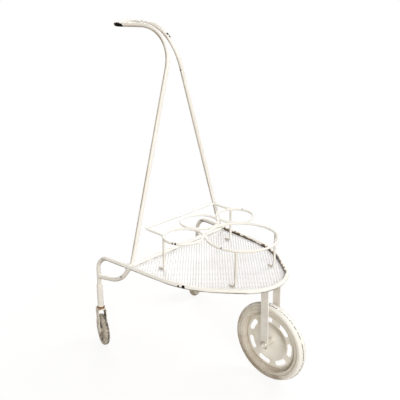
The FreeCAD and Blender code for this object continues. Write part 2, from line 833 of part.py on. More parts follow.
def caster_fork(label):
    """A pressed fork: crown, skirt and two tapering arms."""
    body = new_body(label)
    front = size("caster_fork_depth") / 2
    trail = size("caster_trail")
    arm_half = size("caster_arm_width") / 2
    skirt = fork_top - "caster_fork_skirt"
    arm_foot = caster_radius - arm_half
    padded(body, "side", "YZ_Plane", [
        (-front, fork_top),
        (-front, skirt),
        (-trail - arm_half, caster_radius),
        (-trail - arm_half, arm_foot),
        (-trail + arm_half, arm_foot),
        (-trail + arm_half, caster_radius),
        (front, skirt),
        (front, fork_top),
    ], fork_outer * 2)
    channel = sketch_on(body, "channel", "XZ_Plane")
    half_gap = size("caster_fork_gap") / 2
    outline(channel, [
        (-half_gap, 0),
        (half_gap, 0),
        (half_gap, fork_top - "caster_fork_wall"),
        (-half_gap, fork_top - "caster_fork_wall"),
    ])
    cut_through(body, "channel", channel)
    axle_hole = sketch_on(body, "axle_hole", "YZ_Plane")
    circle_at(axle_hole, (-trail, caster_radius), size("caster_axle_diameter") / 2)
    cut_through(body, "axle_hole", axle_hole)
    stem_hole = sketch_on(body, "stem_hole", "XY_Plane")
    circle_at(stem_hole, (0, 0), stem_radius)
    cut_through(body, "stem_hole", stem_hole)
    across = lambda edge: abs(edge.tangentAt(edge.FirstParameter).x) > 0.9
    rounded(body, "toes", lambda edge: is_straight_at(edge, (None, None, arm_foot.value)) and across(edge),
            arm_half * ROUND_END)
    crown_edge = fork_outer.value
    rounded(body, "crown", lambda edge: is_straight_at(edge, (None, 0, fork_top.value)) and
            abs(abs(edge.valueAt(edge.FirstParameter).x) - crown_edge) < 1e-6, "caster_fork_round")
    return body


def caster_stem(label):
    """The stem with its riveted head under the crown and a groove for the keeper ring."""
    base = fork_top - "caster_fork_wall"
    top = fork_top + "thrust_washer_thickness" + "side_clearance" + "stem_length"
    head_radius = size("stem_head_diameter") / 2
    groove_middle = top - "keeper_below_top"
    groove_floor = stem_radius - keeper_radius
    return revolved(label, [
        (base - "stem_head_thickness", 0),
        (base - "stem_head_thickness", head_radius),
        (base, head_radius),
        (base, stem_radius),
        (groove_middle - keeper_room, stem_radius),
        (groove_middle - keeper_room, groove_floor),
        (groove_middle + keeper_room, groove_floor),
        (groove_middle + keeper_room, stem_radius),
        (top - keeper_radius, stem_radius),
        (top, stem_radius - keeper_radius),
        (top, 0),
    ])


def caster_socket(label):
    """The sleeve on the leg's end: seat for the leg above, bore and keeper groove below."""
    bottom = fork_top + "thrust_washer_thickness" + "side_clearance"
    top = bottom + "socket_length"
    outer = size("socket_diameter") / 2
    bore = stem_radius + "running_clearance"
    seat = size("bar_diameter") / 2
    groove_middle = bottom + "stem_length" - "keeper_below_top"
    groove_floor = bore + keeper_radius + "keeper_groove_clearance"
    return revolved(label, [
        (bottom, bore),
        (groove_middle - keeper_room, bore),
        (groove_middle - keeper_room, groove_floor),
        (groove_middle + keeper_room, groove_floor),
        (groove_middle + keeper_room, bore),
        (top - "socket_seat", bore),
        (top - "socket_seat", seat),
        (top, seat),
        (top, outer),
        (bottom, outer),
    ])


def thrust_washer(label):
    """The thick washer that the socket turns on."""
    outer = size("thrust_washer_diameter") / 2
    top = fork_top + "thrust_washer_thickness"
    bevel = size("thrust_washer_thickness") / 4
    return revolved(label, [
        (fork_top, stem_radius),
        (top, stem_radius),
        (top, outer - bevel),
        (top - bevel, outer),
        (fork_top + bevel, outer),
        (fork_top, outer - bevel),
    ])


def caster_axle(label):
    """A rivet through the fork's arms."""
    shank = size("caster_axle_diameter") / 2
    head = size("caster_rivet_diameter") / 2
    head_flat = head / 2
    outside = fork_outer + "caster_rivet_thickness"
    return revolved(label, [
        (-outside, 0),
        (-outside, head_flat),
        (-fork_outer, head),
        (-fork_outer, shank),
        (fork_outer, shank),
        (fork_outer, head),
        (outside, head_flat),
        (outside, 0),
    ])


tyre_seat = caster_radius - "caster_tyre_height"


def caster_hub(label):
    """The wheel's centre: boss, web and the band under the tyre."""
    boss_half = size("caster_fork_gap") / 2 - "side_clearance"
    boss = size("caster_boss_diameter") / 2
    web = size("caster_hub_web") / 2
    band_half = size("caster_tyre_width") / 2 - "caster_hub_inset"
    band = tyre_seat - "caster_hub_rim"
    bore = size("caster_axle_diameter") / 2 + "running_clearance"
    half = [
        (boss_half, bore),
        (boss_half, boss),
        (web, boss),
        (web, band),
        (band_half, band),
        (band_half, tyre_seat),
    ]
    return revolved(label, half + [(-along, radius) for along, radius in reversed(half)])


def caster_tyre(label):
    """A solid rubber tyre with rounded shoulders."""
    half = size("caster_tyre_width") / 2
    body = revolved(label, [
        (-half, tyre_seat),
        (half, tyre_seat),
        (half, caster_radius),
        (-half, caster_radius),
    ])
    rounded(body, "shoulders", lambda edge: is_circle(edge, caster_radius.value, half.value), "caster_tyre_round")
    return body


for side_name, side in SIDES.items():
    heading = FreeCAD.Rotation(V(0, 0, 1), number(f"caster_heading_{side_name}"))
    on_floor = V(side * leg_x, stem_y, 0)
    turned = FreeCAD.Placement(on_floor, heading)
    standing = FreeCAD.Placement(on_floor, UPRIGHT)
    at_axle = turned.multiply(FreeCAD.Placement(V(0, -number("caster_trail"), caster_radius.value),
                                                FreeCAD.Rotation()))
    keep(caster_socket(f"caster_socket_{side_name}"), standing)
    keep(caster_stem(f"caster_stem_{side_name}"), standing)
    keep(thrust_washer(f"caster_thrust_washer_{side_name}"), standing)
    keeper = doc.addObject("Part::Torus", f"caster_keeper_ring_{side_name}")
    bind(keeper, "Radius1", stem_radius)
    bind(keeper, "Radius2", keeper_radius)
    keep(keeper, FreeCAD.Placement(on_floor + V(0, 0, keeper_z), FreeCAD.Rotation()))
    keep(caster_fork(f"caster_fork_{side_name}"), turned)
    keep(caster_axle(f"caster_axle_{side_name}"), at_axle)
    keep(caster_hub(f"caster_hub_{side_name}"), at_axle)
    keep(caster_tyre(f"caster_tyre_{side_name}"), at_axle)


# Check every object, then write each piece to its own file

doc.recompute()
for item in doc.Objects:
    if {"Invalid", "Error"} & set(item.State):
        raise RuntimeError(f"{item.Label} failed to build")
for item in parts:
    if item.Shape.isNull() or not item.Shape.isValid():
        raise RuntimeError(f"{item.Label} has no valid shape")
    if len(item.Shape.Solids) != 1:
        raise RuntimeError(f"{item.Label} has {len(item.Shape.Solids)} solids")

os.makedirs("parts", exist_ok=True)
for item in parts:
    item.Shape.exportStep(os.path.join("parts", f"{item.Label}.step"))
print("pieces:", len(parts))
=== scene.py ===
# %% [markdown]
# # A small bar cart in worn cream enamel
#
# The cart is bent from round steel bar: a rim with two rear legs, a hairpin handle, a perforated tray and
# a wire rack for bottles. This lesson dresses the solid parts, which are loaded first and never moved.

# %% Load the solid parts
import json
import math

import bmesh
import bpy
from mathutils import Matrix, Vector, noise


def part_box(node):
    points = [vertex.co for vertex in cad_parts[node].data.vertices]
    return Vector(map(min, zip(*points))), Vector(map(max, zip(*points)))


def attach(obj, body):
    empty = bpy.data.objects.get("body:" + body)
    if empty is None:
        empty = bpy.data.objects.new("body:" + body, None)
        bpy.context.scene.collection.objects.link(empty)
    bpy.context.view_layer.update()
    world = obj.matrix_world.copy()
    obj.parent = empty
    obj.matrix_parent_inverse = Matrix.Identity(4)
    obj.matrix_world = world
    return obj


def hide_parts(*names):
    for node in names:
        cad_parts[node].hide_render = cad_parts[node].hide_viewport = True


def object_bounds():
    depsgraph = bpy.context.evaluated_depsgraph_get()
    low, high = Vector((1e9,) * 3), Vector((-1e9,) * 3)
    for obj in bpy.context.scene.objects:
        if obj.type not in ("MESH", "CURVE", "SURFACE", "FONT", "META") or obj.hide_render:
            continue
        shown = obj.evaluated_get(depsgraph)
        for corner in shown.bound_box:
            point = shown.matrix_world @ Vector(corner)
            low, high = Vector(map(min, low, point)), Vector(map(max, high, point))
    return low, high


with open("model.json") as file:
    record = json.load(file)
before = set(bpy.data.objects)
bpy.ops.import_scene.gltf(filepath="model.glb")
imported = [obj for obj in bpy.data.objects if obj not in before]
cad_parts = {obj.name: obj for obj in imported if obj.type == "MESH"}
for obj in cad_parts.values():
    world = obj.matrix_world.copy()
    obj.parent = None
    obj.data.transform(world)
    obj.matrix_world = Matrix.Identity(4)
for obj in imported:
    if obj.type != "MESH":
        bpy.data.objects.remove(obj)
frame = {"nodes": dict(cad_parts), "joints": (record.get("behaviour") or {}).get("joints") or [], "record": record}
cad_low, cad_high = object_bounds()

scene = bpy.context.scene
nodes = frame["nodes"]
MM = 0.001
print("parts loaded:", len(nodes), "height in metres:", round(cad_high.z, 3))

# %% [markdown]
# ## Where the main parts are
#
# Every place below is read from the loaded parts, so the finish follows the cart if its sizes change.
# A wheel's axle, for example, is the line of its joint.

# %% Named places

LEFT_AND_RIGHT = {"left": 1, "right": -1}
ALONG_X, ALONG_Y, UP = Vector((1, 0, 0)), Vector((0, 1, 0)), Vector((0, 0, 1))


def middle(node):
    """The centre of a part's box."""
    low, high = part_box(node)
    return (low + high) / 2


def joint_line(name):
    """A point on a joint's axis and the direction of the axis."""
    joint = [item for item in frame["joints"] if item["name"] == name][0]
    return Vector(joint["pos_m"]), Vector(joint["axis"])


wheel_centre = middle("front_tyre")
wheel_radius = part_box("front_tyre")[1].z - wheel_centre.z
crossbar = middle("rear_crossbar")
bar_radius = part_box("rear_crossbar")[1].z - crossbar.z
wire_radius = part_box("bucket_ring")[1].z - middle("bucket_ring").z
sheet_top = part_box("tray_sheet")[1].z
print("front wheel radius:", round(wheel_radius, 4), "bar radius:", round(bar_radius, 5))

# %% [markdown]
# ## A short way to write node materials
#
# A finish is a graph of nodes. Wiring dozens of nodes by hand hides the idea, so one small class wraps an
# output socket and turns sums into Math nodes. Every other node comes from a single method of the graph.

# %% Sockets that can be added and multiplied


class Wire:
    """An output socket. Arithmetic on it adds Math nodes."""

    def __init__(self, graph, socket):
        self.graph = graph
        self.socket = socket

    def math(self, operation, first, second):
        return self.graph.node("ShaderNodeMath", {"operation": operation}, {0: first, 1: second})

    def __add__(self, other):
        return self.math("ADD", self, other)

    __radd__ = __add__

    def __sub__(self, other):
        return self.math("SUBTRACT", self, other)

    def __rsub__(self, other):
        return self.math("SUBTRACT", other, self)

    def __mul__(self, other):
        return self.math("MULTIPLY", self, other)

    __rmul__ = __mul__

    def __abs__(self):
        return self.math("ABSOLUTE", self, 0.0)

    def largest(self, other):
        return self.math("MAXIMUM", self, other)


print("sockets can now be added, multiplied and compared")

# %% A graph that adds nodes


class Graph:
    """Fills one node tree."""

    def __init__(self, tree):
        self.tree = tree
        tree.nodes.clear()

    def join(self, socket, value):
        if isinstance(value, Wire):
            self.tree.links.new(value.socket, socket)
        else:
            socket.default_value = value

    def node(self, kind, settings=None, sockets=None, output=0):
        """Adds a node: its settings first, then the values or links of its sockets."""
        made = self.tree.nodes.new(kind)
        for key, value in (settings or {}).items():
            setattr(made, key, value)
        for key, value in (sockets or {}).items():
            self.join(made.inputs[key], value)
        return Wire(self, made.outputs[output]) if made.outputs else None

    def seen_directly(self):
        """1 for rays from the camera, from mirrors and through glass, 0 for light that falls on the cart."""
        camera_ray = self.node("ShaderNodeLightPath", output="Is Camera Ray")
        glossy_ray = self.node("ShaderNodeLightPath", output="Is Glossy Ray")
        glass_ray = self.node("ShaderNodeLightPath", output="Is Transmission Ray")
        return camera_ray.largest(glossy_ray).largest(glass_ray)


def colour(red, green, blue):
    return (red, green, blue, 1.0)


print("graph ready")

# %% [markdown]
# ## The words of a finish
#
# A finish adds the few words that every paint, rubber or metal here needs: noise, patches, a soft step, a mix
# of two colours, the distance to a place, and a bump. All patterns read Object coordinates, so they stay on
# a part when it moves.

# %% Finish

# A Mix node has one set of sockets for each kind of data. These are the places of those that mix colours.
MIX_AMOUNT, MIX_FIRST, MIX_SECOND, MIX_RESULT = 0, 6, 7, 2


class Finish(Graph):
    """A material built round one Principled shader."""

    def __init__(self, name):
        self.material = bpy.data.materials.new(name)
        self.material.use_nodes = True
        super().__init__(self.material.node_tree)
        self.shader = self.tree.nodes.new("ShaderNodeBsdfPrincipled")
        self.output = self.tree.nodes.new("ShaderNodeOutputMaterial")
        self.show(Wire(self, self.shader.outputs[0]))
        self.place = self.node("ShaderNodeTexCoord", output="Object")

    def show(self, shader):
        """Makes a shader the one that is rendered."""
        self.join(self.output.inputs["Surface"], shader)
        return self.material

    def vector(self, operation, first, second, output=0):
        return self.node("ShaderNodeVectorMath", {"operation": operation}, {0: first, 1: second}, output)

    def noise(self, scale, detail=4.0, roughness=0.55):
        """Cloudy noise between 0 and 1, with features about 1 / scale metres across."""
        sockets = {"Vector": self.place, "Scale": scale, "Detail": detail, "Roughness": roughness}
        return self.node("ShaderNodeTexNoise", {}, sockets)

    def between(self, value, low, high):
        """0 below low, 1 above high, and smooth in between."""
        settings = {"interpolation_type": "SMOOTHSTEP"}
        return self.node("ShaderNodeMapRange", settings, {"Value": value, "From Min": low, "From Max": high})

    def patches(self, scale, low, high, detail=4.0, roughness=0.55):
        """Noise cut into patches: 0 where it is below low and 1 where it is above high."""
        return self.between(self.noise(scale, detail, roughness), low, high)

    def band(self, value, low, high, soft):
        """1 from low to high, fading over a soft width on either side."""
        return self.between(value, low - soft, low) - self.between(value, high, high + soft)

    def mix(self, amount, first, second):
        """A colour that goes from first to second as the amount goes from 0 to 1."""
        sockets = {MIX_AMOUNT: amount, MIX_FIRST: first, MIX_SECOND: second}
        return self.node("ShaderNodeMix", {"data_type": "RGBA"}, sockets, MIX_RESULT)

    def distance_to(self, point):
        """How far the shaded point is from a place on the cart."""
        return self.vector("DISTANCE", self.place, point, "Value")

    def along(self, axis):
        """Where the shaded point is along X, Y or Z."""
        return self.node("ShaderNodeSeparateXYZ", {}, {0: self.place}, axis)

    def radius_about(self, centre, axle):
        """Distance of the shaded point from an axle through the centre."""
        offset = self.vector("SUBTRACT", self.place, centre)
        across = self.vector("CROSS_PRODUCT", offset, axle)
        return self.node("ShaderNodeVectorMath", {"operation": "LENGTH"}, {0: across}, "Value")

    def towards(self, centre, direction):
        """How far the shaded point lies from the centre in a direction."""
        offset = self.vector("SUBTRACT", self.place, centre)
        return self.vector("DOT_PRODUCT", offset, direction, "Value")

    def facing(self, direction):
        """1 where the surface looks in a direction, 0 where it is edge on and -1 where it looks away."""
        normal = self.node("ShaderNodeTexCoord", output="Normal")
        return self.vector("DOT_PRODUCT", normal, direction, "Value")

    def bump(self, height, strength, distance):
        return self.node("ShaderNodeBump", {}, {"Height": height, "Strength": strength, "Distance": distance})

    def set(self, **values):
        """Sets or links sockets of the shader, named with underscores for spaces."""
        for key, value in values.items():
            self.join(self.shader.inputs[key.replace("_", " ")], value)
        return self.material


print("finish words ready")

# %% [markdown]
# ## Cream enamel, worn by decades of use
#
# The paint is brushed on, yellowed in clouds, dirty and darkened with painted shade underneath and chipped
# down to dark steel. Noise alone would chip it evenly, so a coarse noise first chooses areas and a fine one
# cuts the ragged edge of each chip. Large chips are balls of distance with a noisy edge. The enamel also
# takes any number of masks, each with a colour, for wear and painted light that belongs to one part.

# %% The enamel

CREAM = colour(0.885, 0.878, 0.855)
YELLOWED = colour(0.790, 0.740, 0.650)
GRIME = colour(0.33, 0.255, 0.170)
BARE_STEEL = colour(0.006, 0.005, 0.004)
RUST = colour(0.13, 0.058, 0.024)
SHADED_SIDE = Vector((-0.10, 0.30, -0.95))
UNDERSIDE_DIRT_AND_SHADE = 0.75
SPECKLE_DIRT = 0.12
PAINT_RELIEF = 0.6 * MM


def enamel(name, chips=(), clouding=0.4, wear_and_painted_light=(), pale=CREAM, scatter=1.0):
    """Worn enamel. Chips are places with a radius, and scatter is the share of small chips elsewhere."""
    paint = Finish(name)
    clouds = paint.patches(6.5, 0.42, 0.72)
    speckle = paint.patches(230.0, 0.60, 0.72)
    ragged = paint.noise(420.0, 5.0, 0.65)
    under = paint.between(paint.facing(SHADED_SIDE), 0.0, 0.7)
    base = paint.mix(clouds * clouding, pale, YELLOWED)
    # Faces that look down and back get grime and painted shade, and speckles get grime.
    base = paint.mix((under * UNDERSIDE_DIRT_AND_SHADE).largest(speckle * SPECKLE_DIRT), base, GRIME)
    # Part masks add wear, and on some parts painted shade and a painted highlight.
    for mask, shade in wear_and_painted_light:
        base = paint.mix(mask(paint), base, shade)
    areas = paint.patches(16.0, 0.64, 0.70, detail=2.0)
    chipped = paint.between(ragged, 0.655, 0.68) * areas * scatter
    for place, radius in chips:
        near = paint.distance_to(place) + (ragged - 0.5) * (radius * 1.1)
        chipped = chipped.largest(1.0 - paint.between(near, radius * 0.85, radius))
    bare = paint.mix(paint.patches(130.0, 0.52, 0.68, detail=3.0), BARE_STEEL, RUST)
    return paint.set(
        Base_Color=paint.mix(chipped, base, bare),
        Roughness=0.36 + speckle * 0.12 + chipped * 0.4,
        Metallic=chipped * 0.9,
        Specular_IOR_Level=0.35,
        Normal=paint.bump(paint.noise(150.0, 3.0) * 0.4 - chipped * 0.7, 0.12, PAINT_RELIEF),
    )


print("enamel ready")

# %% [markdown]
# ## Wear and painted shade on the bars
#
# The uprights of the handle are dirty and darkened with painted shade along one side, the legs are darker
# towards the bottom, rust and painted shade creep up from the seam between the sheet and the left flank, and
# the outer side of the rim is scraped and darkened with painted shade along its lower half. Each is a mask: a
# side of the bar, chosen by where its surface looks, times a range of places, times some noise.

# %% Dirt and painted shade on the handle, darker legs

RIGHT_SIDE = Vector((-0.95, 0.31, 0.0))
GRIP_LEVEL = cad_high.z - 30 * MM
GRIP_FADE = 20 * MM
LEGS_DARKER_BELOW, LEGS_PLAIN_ABOVE = crossbar.z - 60 * MM, crossbar.z - 10 * MM


def rubbed_and_shaded_side(paint):
    """A strip along the right side of the upright bars, rubbed, dirty and darkened with painted shade, most on the
    right one.
    """
    side = paint.between(paint.facing(RIGHT_SIDE), 0.66, 0.92)
    below_grip = 1.0 - paint.between(paint.along("Z"), GRIP_LEVEL, GRIP_LEVEL + GRIP_FADE)
    right = 1.0 - paint.between(paint.along("X"), -4 * MM, 4 * MM)
    streaks = paint.patches(24.0, 0.40, 0.62)
    # Dirt and painted shade along that side.
    return side * below_grip * (0.34 + right * 0.12 + streaks * 0.40)


def lower_legs_darkened(paint):
    """The legs, darker towards the bottom, in patches."""
    low = 1.0 - paint.between(paint.along("Z"), LEGS_DARKER_BELOW, LEGS_PLAIN_ABOVE)
    return low * (0.10 + paint.patches(50.0, 0.40, 0.64) * 0.12)


print("grip starts at", round(GRIP_LEVEL, 3), "and the legs are dusty below", round(LEGS_DARKER_BELOW, 3))

# %% Wear and painted shade along the rim

DARK_RUST = colour(0.045, 0.028, 0.017)
LEFT_FLANK_INSIDE = Vector((-0.94, 0.34, 0.0))
RIGHT_FLANK_OUTSIDE = Vector((-0.75, -0.66, 0.0))
RUST_RAGGED = 26 * MM
RUST_AT_NOSE = 4 * MM
SEAM_FADE = 1.0 * MM


def inner_seam(paint):
    """A thin dirty line where the sheet meets the inner side of a bar."""
    outward = paint.vector("MULTIPLY", paint.place, (1, 1, 0))
    inner = paint.between(0.0 - paint.facing(outward), 0.01, 0.05)
    line = paint.band(paint.along("Z"), sheet_top - 2.0 * MM, sheet_top + 1.0 * MM, SEAM_FADE)
    return line * inner * (0.25 + paint.patches(70.0, 0.44, 0.60, detail=5.0) * 0.6)


def left_rust_and_shade(reach):
    """Rust that creeps up the inner side of the left flank from the sheet, further with a larger reach. With the
    wider reach it is grime and painted shade.
    """

    def mask(paint):
        left = paint.between(paint.along("X"), 10 * MM, 40 * MM)
        flank = left * (1.0 - paint.between(paint.along("Y"), crossbar.y, crossbar.y + 6 * MM))
        inner = paint.between(paint.facing(LEFT_FLANK_INSIDE), 0.05, 0.35)
        nose = paint.between(0.0 - paint.along("Y"), 60 * MM, 170 * MM)
        creep = (paint.noise(38.0, 6.0, 0.62) - 0.5) * RUST_RAGGED + nose * RUST_AT_NOSE + reach
        above = paint.along("Z") - sheet_top
        started = paint.between(above, -2.0 * MM, -1.0 * MM)
        return flank * inner * started * (1.0 - paint.between(above - creep, 0.0, SEAM_FADE))

    return mask


def scraped_and_shaded_side(paint):
    """The outer side of the rim, scraped and darkened with painted shade along its lower half."""
    right = paint.between(paint.facing(RIGHT_FLANK_OUTSIDE), 0.30, 0.60)
    lower, upper = crossbar.z - 0.8 * bar_radius, crossbar.z - 0.3 * bar_radius
    line = paint.band(paint.along("Z"), lower, upper, SEAM_FADE)
    return line * right * (0.2 + paint.patches(26.0, 0.38, 0.56, detail=5.0) * 0.7)


print("rust starts at the sheet's top:", round(sheet_top, 4))

# %% [markdown]
# ## Wear and painted light on the tray and the fork straps
#
# The sheet rusts at its border, and the walls of its holes are painted grey as shade. The border is a distance
# that the sheet's mesh stores on its vertices, because no simple formula gives the outline. The straps are
# dusty and darkened with painted shade on their flat faces, have a ring of painted shade round the axle and
# are painted white along the front edge as a highlight.

# %% Wear and painted light on flat pieces

HOLE_SHADE_GREY = colour(0.40, 0.40, 0.40)
HIGHLIGHT_WHITE = colour(0.955, 0.955, 0.950)
AXLE_SHADE_RING = (8.4 * MM, 10.0 * MM)
AXLE_SHADE_RING_FADE = 0.8 * MM


def sheet_edge(paint):
    """Rust on the border of the tray's sheet."""
    gap = paint.node("ShaderNodeAttribute", {"attribute_name": "rim_gap"}, output="Fac")
    eaten = paint.patches(34.0, 0.50, 0.66, detail=5.0)
    return (1.0 - paint.between(gap, 0.6 * MM, 2.6 * MM)) * eaten * 0.7


def shaded_hole_walls(paint):
    """Painted shade on the walls of the sheet's holes."""
    return 1.0 - paint.between(abs(paint.facing(UP)), 0.3, 0.7)


def strap_dust_and_shade(paint):
    """Tan dust and painted shade on the straps' flat faces, and a dark ring of painted shade round the axle."""
    flat = paint.between(abs(paint.facing(ALONG_X)), 0.6, 0.9)
    # The ring round the axle is painted shade.
    ring = paint.band(paint.radius_about(wheel_centre, ALONG_X), *AXLE_SHADE_RING, AXLE_SHADE_RING_FADE)
    # The flat faces get dust and painted shade.
    dust = flat * (0.08 + paint.patches(40.0, 0.40, 0.66, detail=5.0) * 0.12)
    return dust.largest(ring * 0.9)


def strap_edge_highlight(paint):
    """The straps' front edges, painted near white as a highlight."""
    # A painted highlight on the edges that look to the front.
    return paint.between(paint.facing(-ALONG_Y), 0.5, 0.8)


print("dark ring round the axle, in millimetres:", [round(edge / MM, 1) for edge in AXLE_SHADE_RING])

# %% [markdown]
# ## The front wheel's paint
#
# The pressed wheel has the same paint under road dust. Dust and painted shade gather in rings, so their masks
# are read from the distance to the axle: the gutter behind the rim is darkest, with dust and painted shade, and
# the bowl in the middle stays pale, apart from painted shade on its wall on the shaded side and on the hub.

# %% Wheel paint

WHEEL_PALE = colour(0.910, 0.890, 0.840)
WHEEL_BEIGE = colour(0.76, 0.715, 0.630)
WHEEL_DUST_AND_SHADE = colour(0.40, 0.335, 0.250)
HUB_EDGE, BOWL_EDGE, WEB_EDGE, RIM_LIP = 8 * MM, 46 * MM, 66 * MM, 84 * MM
UPPER_FRONT = Vector((0.0, -0.64, 0.77))
LOWER_PART = Vector((0.0, 0.2, -0.98))


def wheel_paint():
    paint = Finish("wheel_paint")
    radius = paint.radius_about(wheel_centre, ALONG_X)
    clouds = paint.patches(22.0, 0.36, 0.70, detail=5.0)
    specks = paint.patches(260.0, 0.60, 0.72)
    bowl = 1.0 - paint.between(radius, BOWL_EDGE - 8 * MM, BOWL_EDGE)
    wall = paint.band(radius, BOWL_EDGE - 11 * MM, BOWL_EDGE + 1 * MM, 5 * MM)
    shadow_side = paint.between(paint.towards(wheel_centre, UPPER_FRONT), 12 * MM, 36 * MM)
    gutter = paint.band(radius, WEB_EDGE + 4 * MM, RIM_LIP, 4 * MM)
    low = paint.between(paint.towards(wheel_centre, LOWER_PART), -20 * MM, 70 * MM)
    base = paint.mix((0.2 + clouds * 0.5) * (1.0 - bowl * 0.75), WHEEL_PALE, WHEEL_BEIGE)
    # Painted shade on the bowl's wall, on its shaded side.
    wall_painted_shade = wall * (0.04 + shadow_side * 0.66)
    # Dust and painted shade in the gutter, more towards the bottom.
    gutter_dust_and_shade = gutter * (0.35 + low * 0.3)
    dust = wall_painted_shade.largest(gutter_dust_and_shade) * (0.6 + clouds * 0.4) + specks * 0.10
    # Painted shade on the hub.
    shaded_hub = 1.0 - paint.between(radius, HUB_EDGE - 1 * MM, HUB_EDGE)
    return paint.set(
        Base_Color=paint.mix(dust.largest(shaded_hub * 0.35), base, WHEEL_DUST_AND_SHADE),
        Roughness=0.48 + clouds * 0.16,
        Normal=paint.bump(paint.noise(170.0, 4.0), 0.15, PAINT_RELIEF),
    )


print("bowl and gutter end at", round(BOWL_EDGE, 3), "and", round(RIM_LIP, 3))

# %% [markdown]
# ## The front tyre
#
# The tyre is pale rubber with fine moulded rings on its sides, darkened with dirt and painted shade, and two
# grooves round its tread, which have caught dark grit. The grooves are cut in the solid tyre, so here they
# only get their grit, in dashes. Brown smudges of dirt and painted shade lie on the rear half, and the crown
# is worn pale, with painted light making the front half paler.

# %% Tyre rubber

TYRE_PALE = colour(0.915, 0.910, 0.880)
TYRE_BEIGE = colour(0.76, 0.720, 0.640)
TYRE_BROWN = colour(0.41, 0.345, 0.260)
GRIT = colour(0.045, 0.036, 0.026)
SIDE_RINGS = (87.6 * MM, 90.4 * MM, 93.2 * MM)
SEAT_RING = (84.6 * MM, 85.6 * MM)
RING_WIDTH = 0.5 * MM
GROOVE = (3.6 * MM, 5.0 * MM)
TREAD_START = 95 * MM
LIT_FRONT_HALF = Vector((0.0, -0.97, 0.26))
UPPER_REAR = Vector((0.0, 0.80, 0.60))
LOWER_REAR = Vector((0.0, 0.45, -0.89))


def tyre_rubber():
    rubber = Finish("pale_tyre_rubber")
    radius = rubber.radius_about(wheel_centre, ALONG_X)
    across = abs(rubber.towards(wheel_centre, ALONG_X))
    # Painted light makes the front half paler and widens the worn crown there.
    front = rubber.between(rubber.towards(wheel_centre, LIT_FRONT_HALF), -10 * MM, 70 * MM)
    worn_and_lit_crown = rubber.between(radius + front * (4 * MM), wheel_radius - 5 * MM, wheel_radius - 3.6 * MM)
    clouds = rubber.patches(28.0, 0.40, 0.70, detail=5.0)
    ragged = rubber.noise(300.0, 4.0, 0.65)
    upper_rear = rubber.towards(wheel_centre, UPPER_REAR) + (clouds - 0.5) * (80 * MM)
    lower_rear = rubber.towards(wheel_centre, LOWER_REAR) + (clouds - 0.5) * (50 * MM)
    # Brown smudges of dirt and painted shade on the upper and lower rear.
    smudge_and_shade = rubber.between(upper_rear, 50 * MM, 120 * MM) * 0.5
    smudge_and_shade = smudge_and_shade.largest(rubber.between(lower_rear, 20 * MM, 80 * MM))
    side = rubber.mix(smudge_and_shade.largest(clouds * 0.25), TYRE_BEIGE, TYRE_BROWN)
    base = rubber.mix(worn_and_lit_crown.largest(front * 0.35), side, TYRE_PALE)
    on_tread = rubber.between(radius, TREAD_START, TREAD_START + 1 * MM)
    groove = rubber.band(across, *GROOVE, 0.3 * MM) * on_tread
    dashes = rubber.patches(170.0, 0.40, 0.54, detail=2.0)
    rings = rubber.band(radius, *SEAT_RING, RING_WIDTH)
    for ring in SIDE_RINGS:
        rings = rings + rubber.band(radius, ring, ring + RING_WIDTH, RING_WIDTH) * 0.5
    specks = rubber.between(ragged, 0.66, 0.70) * rubber.patches(40.0, 0.54, 0.62, detail=2.0)
    # The moulded rings are darkened with dirt and painted shade.
    ring_dirt_and_shade = rings * 0.45 * (1.0 - worn_and_lit_crown * 0.7)
    dirt = (groove * dashes * 0.95).largest(specks * 0.9).largest(ring_dirt_and_shade)
    return rubber.set(
        Base_Color=rubber.mix(dirt, base, GRIT),
        Roughness=0.60 + clouds * 0.2,
        Normal=rubber.bump(ragged * 0.2 - rings * 0.6, 0.4, 0.7 * MM),
    )


print("moulded rings on the tyre's sides:", len(SIDE_RINGS))

# %% [markdown]
# ## Caster rubber and caster paint
#
# A caster's rubber is dark and scuffed on the tread and dusty beige on the sides, so its mask is the
# distance to that caster's own axle. Its fork was painted like the cart, has worn to tan and is grimy and
# darkened with painted shade inside.
# The inside is found from two signs: on which side of the wheel a point lies and which way it looks.

# %% Caster rubber

CASTER_DUST = colour(0.62, 0.57, 0.485)
CASTER_BROWN = colour(0.34, 0.285, 0.215)
CASTER_SCUFF = colour(0.70, 0.66, 0.58)
CASTER_DARK = colour(0.055, 0.045, 0.036)
FRONT_LEFT = Vector((0.69, -0.73, 0.0))
DARK_HALF = {"left": 0.25, "right": 0.95}
CASTER_TREAD = (33.0 * MM, 38.0 * MM)
HALF_FADE = 1.5 * MM


def caster_rubber(side):
    """Dusty rubber. The half of the tread that looks to the front left is worn to black."""
    rubber = Finish(f"caster_rubber_{side}")
    centre, axle = joint_line(f"caster_wheel_spin_{side}")
    across = rubber.towards(centre, axle if axle.dot(FRONT_LEFT) > 0 else -axle)
    tread = rubber.between(rubber.radius_about(centre, axle), *CASTER_TREAD)
    mottle = rubber.patches(150.0, 0.40, 0.54, detail=5.0, roughness=0.65)
    scuffs = rubber.patches(330.0, 0.56, 0.64)
    worn_half = 0.35 + rubber.between(across, -HALF_FADE, HALF_FADE) * 0.65
    black = tread * worn_half * mottle * DARK_HALF[side]
    dusty = rubber.mix(rubber.patches(60.0, 0.40, 0.66) * 0.5, CASTER_DUST, CASTER_BROWN)
    return rubber.set(
        Base_Color=rubber.mix(scuffs * 0.25, rubber.mix(black, dusty, CASTER_DARK), CASTER_SCUFF),
        Roughness=0.66 + scuffs * 0.2,
        Normal=rubber.bump(mottle * 0.6 + scuffs * 0.4, 0.5, 0.8 * MM),
    )


print("caster tread starts at", round(CASTER_TREAD[0], 3))

# %% Caster paint

CASTER_CREAM = colour(0.85, 0.815, 0.735)
CASTER_TAN = colour(0.68, 0.615, 0.510)
CASTER_GRIME_AND_SHADE = colour(0.10, 0.080, 0.058)
LIGHT_RUST = colour(0.34, 0.20, 0.10)


